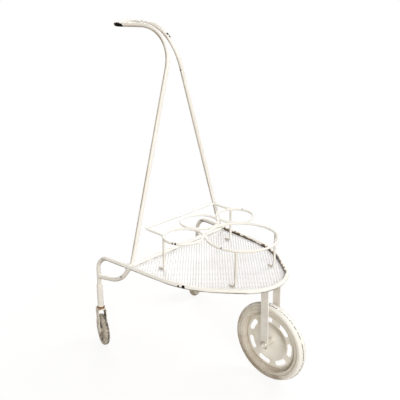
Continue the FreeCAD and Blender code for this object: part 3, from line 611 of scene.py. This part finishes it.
def caster_paint(side):
    """Paint on a caster's fork, worn to tan, flaking to rust, and grimy and darkened with painted shade inside."""
    paint = Finish(f"worn_caster_paint_{side}")
    centre, axle = joint_line(f"caster_wheel_spin_{side}")
    flakes = paint.patches(110.0, 0.58, 0.66, detail=5.0, roughness=0.6)
    pits = paint.patches(360.0, 0.42, 0.70)
    painted = paint.mix(paint.patches(45.0, 0.38, 0.68), CASTER_CREAM, CASTER_TAN)
    rust = paint.mix(pits, RUST, LIGHT_RUST)
    outer = paint.mix(flakes * 0.75, painted, rust)
    # Grime and painted shade on the inner faces of the fork.
    inside = paint.between(0.0 - paint.towards(centre, axle) * paint.facing(axle), 4 * MM, 8 * MM)
    return paint.set(
        Base_Color=paint.mix(inside * 0.85, outer, CASTER_GRIME_AND_SHADE),
        Roughness=0.48 + flakes * 0.35,
        Normal=paint.bump(pits * 0.3 - flakes * 0.7, 0.30, PAINT_RELIEF),
    )


print("caster paint ready")

# %% [markdown]
# ## Rust, steel and the caster hubs
#
# The washer on top of each caster is bare rust, the fasteners and the hidden steel are dull and stained,
# and the hubs of the casters are a dusty moulding. All three are two patterns of noise: a coarse one for
# the colour and a fine one for the relief.

# %% Rust, steel and moulding

RUST_CRUST = (colour(0.075, 0.036, 0.016), colour(0.36, 0.165, 0.060))
HUB_BROWN = colour(0.20, 0.17, 0.13)


def bare_rust():
    crust = Finish("bare_rust")
    scales = crust.patches(140.0, 0.38, 0.66, detail=5.0, roughness=0.6)
    pits = crust.patches(520.0, 0.40, 0.66)
    return crust.set(
        Base_Color=crust.mix(scales, *RUST_CRUST),
        Roughness=0.78 + pits * 0.15,
        Normal=crust.bump(scales + pits * 0.4, 0.6, 0.8 * MM),
    )


def dull_steel(name, shade, shine):
    """Plain steel with brown stains. The shine says how much bare metal shows through the dust."""
    steel = Finish(name)
    brushed = steel.patches(500.0, 0.35, 0.65, detail=3.0)
    stain = steel.patches(120.0, 0.52, 0.68)
    return steel.set(
        Base_Color=steel.mix(stain * 0.45, colour(shade, shade * 0.96, shade * 0.88), RUST),
        Metallic=shine - stain * shine * 0.6,
        Roughness=0.36 + brushed * 0.2,
        Normal=steel.bump(brushed, 0.2, 0.4 * MM),
    )


def dusty_moulding():
    plastic = Finish("dusty_caster_hub")
    dust = plastic.patches(80.0, 0.36, 0.66, detail=5.0)
    return plastic.set(
        Base_Color=plastic.mix(dust, HUB_BROWN, CASTER_DUST),
        Roughness=0.58 + dust * 0.2,
        Normal=plastic.bump(plastic.noise(300.0), 0.25, 0.5 * MM),
    )


print("rust, steel and moulding ready")

# %% [markdown]
# ## The perforated tray
#
# The real sheet is punched with small square holes in rows that run slantwise. Punching hundreds of holes
# with booleans is slow and untidy, so a grid is trimmed to the tray's outline, each whole square is inset,
# and the inset faces are taken away. The outline is convex, so one cut for each of its sides is enough.
# Every vertex also stores its distance to the outline, which the paint reads for the rusty border.

# %% Outline of a plate

SAME_POINT = 0.001 * MM
UPRIGHT_FACE = 0.1


def outline_planes(node):
    """A point and an outward direction for each side of a convex plate."""
    hull = bmesh.new()
    hull.from_mesh(nodes[node].data)
    bmesh.ops.delete(hull, geom=hull.edges[:] + hull.faces[:], context="EDGES_FACES")
    bmesh.ops.remove_doubles(hull, verts=hull.verts, dist=SAME_POINT)
    made = bmesh.ops.convex_hull(hull, input=hull.verts)
    sides = [item for item in made["geom"] if isinstance(item, bmesh.types.BMFace)]
    heart = middle(node)
    planes = []
    for face in sides:
        face.normal_update()
        outward = face.normal.copy()
        if abs(outward.z) < UPRIGHT_FACE:
            point = face.calc_center_median()
            planes.append((point, outward if (point - heart).dot(outward) > 0 else -outward))
    hull.free()
    return planes


sheet_sides = outline_planes("tray_sheet")
print("sides of the tray:", len(sheet_sides))

# %% From a bmesh to a piece of the cart


def new_piece(name, builder, body, material, stands_for=()):
    """Turns a finished bmesh into an object that rides on a body of the cart."""
    mesh = bpy.data.meshes.new(name)
    builder.to_mesh(mesh)
    builder.free()
    piece = bpy.data.objects.new(name, mesh)
    scene.collection.objects.link(piece)
    piece.data.materials.append(material)
    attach(piece, body)
    if stands_for:
        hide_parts(*stands_for)
    print("piece:", name, "faces:", len(mesh.polygons))
    return piece


# %% Tray sheet with its holes

HOLE_PITCH = 6.6 * MM
HOLE_SIDE = 2.8 * MM
HOLE_BORDER = 3.0 * MM
HOLE_EDGE = (HOLE_PITCH - HOLE_SIDE) / 2
HOLE_TURN = math.radians(43)
WHOLE_SQUARE = 0.98 * HOLE_PITCH ** 2
SLIVER = 0.1 * MM


def room_inside(place):
    """Distance from a place on the sheet to the nearest side of its outline."""
    return min((point - place).dot(outward) for point, outward in sheet_sides)


def perforated_sheet(low, high):
    """The tray sheet, punched through, and the number of its holes."""
    cells = math.ceil((high - low).length / HOLE_PITCH)
    plate = bmesh.new()
    bmesh.ops.create_grid(plate, x_segments=cells, y_segments=cells, size=cells * HOLE_PITCH / 2)
    place = Matrix.Translation((0, (low.y + high.y) / 2, high.z)) @ Matrix.Rotation(HOLE_TURN, 4, "Z")
    bmesh.ops.transform(plate, matrix=place, verts=plate.verts)
    for point, outward in sheet_sides:
        everything = plate.verts[:] + plate.edges[:] + plate.faces[:]
        bmesh.ops.bisect_plane(plate, geom=everything, plane_co=point, plane_no=outward, clear_outer=True)
    bmesh.ops.remove_doubles(plate, verts=plate.verts, dist=SLIVER)
    whole = []
    for face in plate.faces:
        room = min(room_inside(corner.co) for corner in face.verts)
        if room > HOLE_BORDER - HOLE_EDGE and face.calc_area() > WHOLE_SQUARE:
            whole.append(face)
    bmesh.ops.inset_individual(plate, faces=whole, thickness=HOLE_EDGE, use_even_offset=True)
    bmesh.ops.delete(plate, geom=whole, context="FACES")
    shell = bmesh.ops.extrude_face_region(plate, geom=plate.faces[:])
    lower = [item for item in shell["geom"] if isinstance(item, bmesh.types.BMVert)]
    bmesh.ops.translate(plate, vec=(0, 0, low.z - high.z), verts=lower)
    bmesh.ops.recalc_face_normals(plate, faces=plate.faces)
    rim_gap = plate.verts.layers.float.new("rim_gap")
    for vert in plate.verts:
        vert[rim_gap] = max(0.0, room_inside(vert.co))
    return plate, len(whole)


TRAY_WHITE = colour(0.895, 0.907, 0.940)
# Rust on the sheet's border and painted shade in its holes.
tray_rust_and_shade = [(sheet_edge, DARK_RUST), (shaded_hole_walls, HOLE_SHADE_GREY)]
tray_enamel = enamel("tray_enamel", clouding=0.12, wear_and_painted_light=tray_rust_and_shade, pale=TRAY_WHITE)
sheet_mesh, hole_count = perforated_sheet(*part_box("tray_sheet"))
new_piece("perforated_tray", sheet_mesh, "frame", tray_enamel, ["tray_sheet"])
print("holes in the tray:", hole_count)

# %% [markdown]
# ## Weld beads
#
# Every joint of the cart is welded and painted over. A bead is a soft lump drawn out along the seam, so
# each one starts as a ball, is made uneven with noise and is then stretched. All beads are one mesh.

# %% One bead

BEAD_LUMPS = 0.18
LUMP_SCALE = 1.7
LUMP_SHIFT = 900


def add_bead(beads, place, run, length, width):
    """One lumpy bead round a place, drawn out along a run."""
    lump = bmesh.ops.create_uvsphere(beads, u_segments=12, v_segments=8, radius=1.0)["verts"]
    for vert in lump:
        vert.co *= 1 + BEAD_LUMPS * noise.noise(vert.co * LUMP_SCALE + place * LUMP_SHIFT)
    turn = UP.rotation_difference(run).to_matrix().to_4x4()
    stretch = Matrix.Diagonal((width / 2, width / 2, length / 2, 1))
    bmesh.ops.transform(beads, matrix=Matrix.Translation(place) @ turn @ stretch, verts=lump)


bead_mesh = bmesh.new()
print("a bead is uneven by", BEAD_LUMPS, "of its size")

# %% Beads on the rack

# Each bead is a length and a width.
RING_BEAD = (12 * MM, 4.2 * MM)
POST_BEAD = (4.5 * MM, 8.2 * MM)
TOE_BEAD = (4 * MM, 3.2 * MM)
BACK_BEAD = (9 * MM, 7.4 * MM)


def ring_radius(node):
    low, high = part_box(node)
    return (high.x - low.x) / 2 - wire_radius


def rack_beads(beads):
    touching = [("bucket_ring", f"bottle_ring_{name}") for name in ("left", "middle", "right")]
    touching += [("bottle_ring_middle", f"bottle_ring_{name}") for name in LEFT_AND_RIGHT]
    for one, other in touching:
        across = (middle(other) - middle(one)).normalized()
        contact = middle(one) + across * (ring_radius(one) + wire_radius)
        for lift in (1.3 * MM, -1.3 * MM):
            add_bead(beads, contact + UP * lift, across.cross(UP), *RING_BEAD)
    for side, sign in LEFT_AND_RIGHT.items():
        for row in ("front", "rear"):
            low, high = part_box(f"rack_post_{row}_{side}")
            upright = Vector((low.x + wire_radius, low.y + wire_radius, high.z))
            add_bead(beads, upright - UP * 1.2 * MM, UP, *POST_BEAD)
            toe = Vector((upright.x, high.y - 4 * MM, sheet_top + 0.8 * MM))
            add_bead(beads, toe, ALONG_Y, *TOE_BEAD)
        low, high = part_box("rack_back_wire")
        end = Vector((sign * (high.x - wire_radius), low.y + 1 * MM, middle("bucket_ring").z))
        add_bead(beads, end, ALONG_X, *BACK_BEAD)


rack_beads(bead_mesh)
print("rack beads, faces:", len(bead_mesh.faces))

# %% Beads on the rim, handle, legs and fork

CORNER_BEAD = (11 * MM, 5 * MM)
RIM_BEAD = (19 * MM, 5 * MM)
BRACE_BEAD = (10 * MM, 4.6 * MM)
BRACE_TOP_BEAD = (17 * MM, 5 * MM)
STRAP_BEAD = (18 * MM, 4.2 * MM)


def top_middle(node):
    """The middle of a part's topmost millimetre."""
    points = [vert.co for vert in nodes[node].data.vertices]
    peak = max(point.z for point in points)
    upper = [point for point in points if point.z > peak - MM]
    return sum(upper, Vector()) / len(upper)


def frame_beads(beads):
    handle_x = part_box("rear_crossbar")[1].x
    for side, sign in LEFT_AND_RIGHT.items():
        corner = Vector((sign * handle_x, crossbar.y, crossbar.z))
        for lift in (0.85, -0.85):
            add_bead(beads, corner + UP * bar_radius * lift, ALONG_Y, *CORNER_BEAD)
            beside_rim = corner + ALONG_X * sign * bar_radius + UP * bar_radius * lift * 0.7
            add_bead(beads, beside_rim, ALONG_Y, *RIM_BEAD)
        leg = middle(f"caster_socket_{side}")
        low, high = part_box(f"leg_brace_{side}")
        brace_end = Vector((leg.x, leg.y - bar_radius, low.z + bar_radius))
        for lift in (0.9, -0.9):
            add_bead(beads, brace_end + UP * bar_radius * lift, ALONG_X, *BRACE_BEAD)
        brace_top = Vector(((high.x + low.x) / 2, low.y + 1.5 * bar_radius, crossbar.z - bar_radius))
        add_bead(beads, brace_top, ALONG_Y, *BRACE_TOP_BEAD)
        strap_top = top_middle(f"fork_strap_{side}")
        outer_face = sign * max(abs(value.x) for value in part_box(f"fork_strap_{side}"))
        strap_foot = Vector((outer_face, strap_top.y, sheet_top - 3 * MM))
        add_bead(beads, strap_foot, ALONG_Y, *STRAP_BEAD)


frame_beads(bead_mesh)
print("frame beads added, faces:", len(bead_mesh.faces))

# %% Collars where the legs enter their sockets

COLLAR_RADIUS = 1.7 * MM
COLLAR_OFFSET = bar_radius + 0.9 * MM
COLLAR_LUMPS = 0.10
COLLAR_LUMP_SCALE = 260


def socket_collar(beads, side):
    """A ring of weld round the leg, on the socket's upper end."""
    socket = middle(f"caster_socket_{side}")
    seat = Vector((socket.x, socket.y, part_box(f"caster_socket_{side}")[1].z))
    before = set(beads.verts)
    made = bmesh.ops.create_circle(beads, segments=8, radius=COLLAR_RADIUS)["verts"]
    place = Matrix.Translation(seat + ALONG_X * COLLAR_OFFSET) @ Matrix.Rotation(math.pi / 2, 4, "X")
    bmesh.ops.transform(beads, matrix=place, verts=made)
    line = made + list({edge for vert in made for edge in vert.link_edges})
    bmesh.ops.spin(beads, geom=line, cent=seat, axis=UP, angle=math.tau, steps=28, use_merge=True)
    ring = [vert for vert in beads.verts if vert not in before]
    for vert in ring:
        vert.co += (vert.co - seat) * COLLAR_LUMPS * noise.noise(vert.co * COLLAR_LUMP_SCALE)


for side_name in LEFT_AND_RIGHT:
    socket_collar(bead_mesh, side_name)
bmesh.ops.recalc_face_normals(bead_mesh, faces=bead_mesh.faces)
for face in bead_mesh.faces:
    face.smooth = True
new_piece("weld_beads", bead_mesh, "frame", enamel("bead_enamel"))

# %% [markdown]
# ## Caster tyres
#
# The solid tyres are square in section, and the real ones are worn round. A tyre's section is a rectangle
# beside the axle. A bevel on its two outer corners rounds the tread, and a full spin about the axle closes
# the ring. Both tyres keep the width and the radius of the solid ones.

# %% Worn tyres of the casters

TREAD_ROUNDING = 0.85


def caster_tyre(side):
    """A rounded tyre in the place of a solid one."""
    centre, axle = joint_line(f"caster_wheel_spin_{side}")
    offsets = [vert.co - centre for vert in nodes[f"caster_tyre_{side}"].data.vertices]
    half_width = max(abs(offset.dot(axle)) for offset in offsets)
    radii = [offset.cross(axle).length for offset in offsets]
    inner, outer = min(radii), max(radii)
    tyre = bmesh.new()
    section = [(-half_width, inner), (half_width, inner), (half_width, outer), (-half_width, outer)]
    corners = [tyre.verts.new(centre + axle * across + UP * height) for across, height in section]
    tyre.faces.new(corners)
    bmesh.ops.bevel(
        tyre, geom=corners[2:], offset=TREAD_ROUNDING * half_width, offset_type="OFFSET", affect="VERTICES",
        segments=6, profile=0.5, material=-1)
    line = tyre.verts[:] + tyre.edges[:]
    bmesh.ops.delete(tyre, geom=tyre.faces[:], context="FACES_ONLY")
    bmesh.ops.spin(tyre, geom=line, cent=centre, axis=axle, angle=math.tau, steps=56, use_merge=True)
    bmesh.ops.recalc_face_normals(tyre, faces=tyre.faces)
    for face in tyre.faces:
        face.smooth = True
    return tyre


for side_name in LEFT_AND_RIGHT:
    worn_tyre = caster_tyre(side_name)
    wheel_body = f"caster_wheel_{side_name}"
    solid_tyre = f"caster_tyre_{side_name}"
    rubber_finish = caster_rubber(side_name)
    new_piece(f"worn_tyre_{side_name}", worn_tyre, wheel_body, rubber_finish, [solid_tyre])

# %% [markdown]
# ## The axle's nut and bolt
#
# The solid nut and bolt have sharp edges and a smooth end. Here the hexagons get small bevels, and the end
# that sticks out of the nut gets a real thread: a small triangle, spun round the axle while it moves along.

# %% Hexagons, rods and threads

AXLE_RADIUS = 4.0 * MM
THREAD_PITCH = 1.25 * MM
THREAD_STEPS = 24
CREST, ROOT = 0.45 * MM, 0.3 * MM
HEXAGON_BEVEL, ROD_BEVEL = 0.6 * MM, 0.5 * MM
QUARTER_TURN = math.pi / 2
LYING = Matrix.Rotation(QUARTER_TURN, 4, "Y")


def soften(builder, edges, width):
    """A small round bevel on some edges."""
    bmesh.ops.bevel(
        builder, geom=list(edges), offset=width, offset_type="OFFSET", affect="EDGES", segments=2,
        profile=0.5, material=-1)


def add_block(builder, sides, radius, depth, place):
    """A straight block with a number of sides, and all its edges."""
    made = bmesh.ops.create_cone(
        builder, cap_ends=True, segments=sides, radius1=radius, radius2=radius, depth=depth)["verts"]
    bmesh.ops.transform(builder, matrix=place, verts=made)
    return {edge for vert in made for edge in vert.link_edges}


def add_hexagon(builder, low, high):
    """A hexagonal block with softened edges, lying along X, in a part's box."""
    place = Matrix.Translation((low + high) / 2) @ LYING @ Matrix.Rotation(QUARTER_TURN, 4, "Z")
    edges = add_block(builder, 6, (high.y - low.y) / 2, high.x - low.x, place)
    soften(builder, edges, HEXAGON_BEVEL)


def add_rod(builder, start, end, radius):
    """A round rod along X with a small bevel at its ends."""
    place = Matrix.Translation((start + end) / 2) @ LYING
    edges = add_block(builder, 32, radius, abs(end.x - start.x), place)
    ends = [edge for edge in edges if abs(edge.verts[0].co.x - edge.verts[1].co.x) < SAME_POINT]
    soften(builder, ends, ROD_BEVEL)


def add_thread(builder, start, length, radius):
    """A ridge that climbs round the rod from the start, towards -X."""
    turns = length / THREAD_PITCH
    steps = int(THREAD_STEPS * turns)
    crest = start + UP * (radius + CREST)
    root = start + UP * (radius - ROOT)
    half = ALONG_X * 0.45 * THREAD_PITCH
    corners = [builder.verts.new(place) for place in (root - half, crest, root + half)]
    first = builder.faces.new(corners)
    bmesh.ops.spin(
        builder, geom=corners + list(first.edges) + [first], cent=start, axis=ALONG_X, angle=math.tau * turns,
        dvec=-ALONG_X * length / steps, steps=steps)


print("thread pitch in millimetres:", THREAD_PITCH / MM)

# %% The nut, with its flange

FLANGE_FOOT, FLANGE_TOP, FLANGE_DEPTH = 8.6 * MM, 7.6 * MM, 1.6 * MM
FACING_OUT = Matrix.Rotation(-QUARTER_TURN, 4, "Y")
nut_low, nut_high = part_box("front_axle_nut")
axle_line = Vector((0, wheel_centre.y, wheel_centre.z))
nut_mesh = bmesh.new()
add_hexagon(nut_mesh, nut_low, nut_high)
flange = bmesh.ops.create_cone(
    nut_mesh, cap_ends=True, segments=40, radius1=FLANGE_FOOT, radius2=FLANGE_TOP,
    depth=FLANGE_DEPTH)["verts"]
flange_middle = axle_line + ALONG_X * (nut_high.x - FLANGE_DEPTH / 2)
bmesh.ops.transform(nut_mesh, matrix=Matrix.Translation(flange_middle) @ FACING_OUT, verts=flange)
bmesh.ops.recalc_face_normals(nut_mesh, faces=nut_mesh.faces)
fastener_steel = dull_steel("fastener_steel", 0.74, 0.4)
new_piece("axle_nut", nut_mesh, "frame", fastener_steel, ["front_axle_nut"])

# %% The bolt, with its head and thread

THREAD_LEAD, THREAD_END = 0.2 * MM, 1.0 * MM
bolt_low, bolt_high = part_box("front_axle_bolt")
bolt_mesh = bmesh.new()
head_depth = bolt_high.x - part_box("fork_strap_left")[1].x
head_low = Vector((bolt_high.x - head_depth, bolt_low.y, bolt_low.z))
add_hexagon(bolt_mesh, head_low, bolt_high)
add_rod(bolt_mesh, axle_line + ALONG_X * head_low.x, axle_line + ALONG_X * bolt_low.x, AXLE_RADIUS)
thread_start = axle_line + ALONG_X * (nut_low.x + THREAD_LEAD)
thread_length = nut_low.x - bolt_low.x - THREAD_END
add_thread(bolt_mesh, thread_start, thread_length, AXLE_RADIUS - ROOT)
bmesh.ops.recalc_face_normals(bolt_mesh, faces=bolt_mesh.faces)
new_piece("axle_bolt", bolt_mesh, "frame", fastener_steel, ["front_axle_bolt"])
print("thread turns:", round(thread_length / THREAD_PITCH, 1))

# %% [markdown]
# ## Painting the solid parts
#
# Each remaining part keeps its shape and gets the finish of its slot. The bars with large chips have their
# own paint: the grip is worn to black steel at its end, and knocks have left black spots on rim and rings.
# The grip is smooth elsewhere, so the handle gets no scattered chips.

# %% Large chips, as places and radii in millimetres

CHIPS = {
    "handle_bar": [
        ((-34, 264, 816), 6), ((-35, 272, 817), 8), ((-35, 281, 818), 8), ((-32, 289, 818), 7),
        ((22, 246, 828), 2.5), ((9, 139, 802), 4), ((11, 133, 796), 4), ((21, 109, 716), 2.5),
    ],
    "rim_bar": [
        ((-187, 190, 245), 2.6), ((-169, -40, 254), 2.0), ((-164, -62, 257), 2.8), ((-160, -74, 258), 4.6),
    ],
    "leg_brace_right": [((-184, 122, 224), 2.6)],
    "bottle_ring_right": [((-142, -31, 347), 2.8), ((-144, -24, 347), 2.2)],
    "bottle_ring_left": [((140, 1, 349), 2.0)],
    "bucket_ring": [((-87, -125, 348), 2.2)],
}
RIM_GRIME_AND_SHADE_REACH, RIM_RUST_REACH = 4.4 * MM, 2.2 * MM
# Masks for single parts: dirt and wear, with painted shade on the handle's side and on the rim's left flank and
# lower edge.
PART_WEAR_AND_SHADE = {
    "handle_bar": [(rubbed_and_shaded_side, GRIME)],
    "rim_bar": [
        (lower_legs_darkened, GRIME),
        (inner_seam, GRIME),
        # Grime and painted shade on the inner side of the left flank, in a wider band than the rust.
        (left_rust_and_shade(RIM_GRIME_AND_SHADE_REACH), GRIME),
        (left_rust_and_shade(RIM_RUST_REACH), DARK_RUST),
        # Scrapes and painted shade on the lower half of the rim's outer side.
        (scraped_and_shaded_side, DARK_RUST),
    ],
}
SCATTERED_CHIPS = {"handle_bar": 0.0}
print("large chips:", sum(len(chips) for chips in CHIPS.values()))

# %% Finishes on the parts

own_finish = {"rear_crossbar": enamel("crossbar_enamel", wear_and_painted_light=[(inner_seam, GRIME)])}
for node, chips in CHIPS.items():
    places = [(Vector(place) * MM, radius * MM) for place, radius in chips]
    wear_and_painted_light = PART_WEAR_AND_SHADE.get(node, ())
    scatter = SCATTERED_CHIPS.get(node, 1.0)
    own_finish[node] = enamel(f"{node}_enamel", places, wear_and_painted_light=wear_and_painted_light, scatter=scatter)
# The straps get dust and painted shade, and a painted highlight on their front edges.
strap_enamel = enamel("strap_enamel", wear_and_painted_light=[(strap_dust_and_shade, GRIME), (strap_edge_highlight, HIGHLIGHT_WHITE)])
# The posts get the same dirty side with painted shade.
post_enamel = enamel("post_enamel", wear_and_painted_light=[(rubbed_and_shaded_side, GRIME)])
rust = bare_rust()
for side_name in LEFT_AND_RIGHT:
    own_finish[f"fork_strap_{side_name}"] = strap_enamel
    own_finish[f"rack_post_front_{side_name}"] = post_enamel
    own_finish[f"rack_post_rear_{side_name}"] = post_enamel
    own_finish[f"caster_tyre_{side_name}"] = bpy.data.materials[f"caster_rubber_{side_name}"]
    own_finish[f"caster_fork_{side_name}"] = caster_paint(side_name)
    own_finish[f"caster_thrust_washer_{side_name}"] = rust
slot_finish = {
    "cream_enamel": enamel("cream_enamel"),
    "wheel_enamel": wheel_paint(),
    "cream_rubber": tyre_rubber(),
    "plain_steel": dull_steel("plain_steel", 0.52, 0.75),
    "grey_hub": dusty_moulding(),
}
for entry in frame["record"]["subparts"]:
    node = entry["node"]
    part = nodes[node]
    part.data.materials.clear()
    part.data.materials.append(own_finish.get(node) or slot_finish[entry["material_slot"]])
print("painted parts:", len(nodes), "with a finish of their own:", len(own_finish))

# %% [markdown]
# ## Floor
#
# The cart stands on a pale floor in front of white. More light would whiten the floor but bleach the cart,
# so what the camera sees of the floor is brightened in the floor's own material instead. Near the cart it
# still takes the shadow, and further away it fades to plain white.

# %% Floor

FLOOR_SIZE = 30.0
FLOOR_PALE = colour(0.44, 0.41, 0.36)
FLOOR_SHADE = colour(0.15, 0.15, 0.15)
FLOOR_GLOW = 0.855
SHADOW_END, WHITE_START = 0.30, 0.75


def pale_floor():
    floor = Finish("pale_floor")
    plain = floor.node("ShaderNodeBsdfDiffuse", {}, {"Color": FLOOR_PALE})
    shaded = floor.node("ShaderNodeBsdfDiffuse", {}, {"Color": FLOOR_SHADE})
    glow = floor.node("ShaderNodeEmission", {}, {"Strength": FLOOR_GLOW})
    near = floor.node("ShaderNodeAddShader", {}, {0: shaded, 1: glow})
    far = floor.node("ShaderNodeEmission", {}, {"Strength": 1.0})
    away = floor.between(floor.distance_to((0, 0, 0)), SHADOW_END, WHITE_START)
    seen = floor.node("ShaderNodeMixShader", {}, {0: away, 1: near, 2: far})
    return floor.show(floor.node("ShaderNodeMixShader", {}, {0: floor.seen_directly(), 1: plain, 2: seen}))


floor_mesh = bmesh.new()
bmesh.ops.create_grid(floor_mesh, x_segments=1, y_segments=1, size=FLOOR_SIZE)
floor_data = bpy.data.meshes.new("floor")
floor_mesh.to_mesh(floor_data)
floor_mesh.free()
floor = bpy.data.objects.new("floor", floor_data)
floor.data.materials.append(pale_floor())
scene.collection.objects.link(floor)
print("floor laid, metres across:", 2 * FLOOR_SIZE)

# %% [markdown]
# ## Light
#
# Four large soft lamps light the cart: a white key lamp high on its left, a slightly warm lamp before its
# right front, a weak one overhead and a fill behind. The world adds a dim warm light from all sides, so
# shaded undersides turn tan. The camera and mirrors see the world as plain white.

# %% Lamps

# Each lamp has a place and a size in metres, a power in watts and a tint.
LAMPS = {
    "key_lamp": ((2.48, -0.99, 2.30), 1.6, 54, (1.0, 1.0, 1.0)),
    "top_lamp": ((0.2, 0.3, 3.0), 2.2, 8, (1.0, 1.0, 1.0)),
    "front_lamp": ((-1.75, -2.27, 1.51), 2.0, 70, (1.0, 0.985, 0.95)),
    "rear_fill": ((1.6, 2.6, 1.7), 2.0, 38, (1.0, 0.98, 0.94)),
}
LIT_MIDDLE = Vector((0, 0, 0.35))


def soft_lamp(name, place, size, watts, tint):
    """A round area lamp that looks at the middle of the cart."""
    data = bpy.data.lights.new(name, "AREA")
    data.shape = "DISK"
    data.size = size
    data.energy = watts
    data.color = tint
    lamp = bpy.data.objects.new(name, data)
    lamp.location = place
    lamp.rotation_euler = (LIT_MIDDLE - Vector(place)).to_track_quat("-Z", "Y").to_euler()
    scene.collection.objects.link(lamp)


for lamp_name, lamp_values in LAMPS.items():
    soft_lamp(lamp_name, *lamp_values)
print("lamps:", len(LAMPS))

# %% World

WORLD_TINT = colour(1.0, 0.91, 0.79)
WORLD_STRENGTH = 0.33
WHITE = colour(1, 1, 1)
world = bpy.data.worlds.new("studio")
scene.world = world
world.use_nodes = True
sky = Graph(world.node_tree)
fill = sky.node("ShaderNodeBackground", {}, {"Color": WORLD_TINT, "Strength": WORLD_STRENGTH})
white = sky.node("ShaderNodeBackground", {}, {"Color": WHITE, "Strength": 1.0})
backdrop = sky.node("ShaderNodeMixShader", {}, {0: sky.seen_directly(), 1: fill, 2: white})
sky.node("ShaderNodeOutputWorld", {}, {"Surface": backdrop})
print("world light strength:", WORLD_STRENGTH)

# %% [markdown]
# ## Camera
#
# The camera looks from the front right of the cart, a little above the tray, as in the photograph.

# %% Camera

CAMERA_TURN = math.radians(-46.6)
CAMERA_RISE = math.radians(19.7)
CAMERA_DISTANCE = 1.5006
CAMERA_LENS = 53.92
SENSOR_WIDTH = 36
look_at = Vector((0, 0.0235, 0.4051))
back = Vector((
    math.sin(CAMERA_TURN) * math.cos(CAMERA_RISE),
    -math.cos(CAMERA_TURN) * math.cos(CAMERA_RISE),
    math.sin(CAMERA_RISE),
))
camera_data = bpy.data.cameras.new("camera")
camera_data.lens = CAMERA_LENS
camera_data.sensor_width = SENSOR_WIDTH
camera = bpy.data.objects.new("camera", camera_data)
camera.location = look_at + back * CAMERA_DISTANCE
camera.rotation_euler = back.to_track_quat("Z", "Y").to_euler()
scene.collection.objects.link(camera)
scene.camera = camera
scene.view_settings.view_transform = "Standard"
print("camera at", [round(value, 3) for value in camera.location])
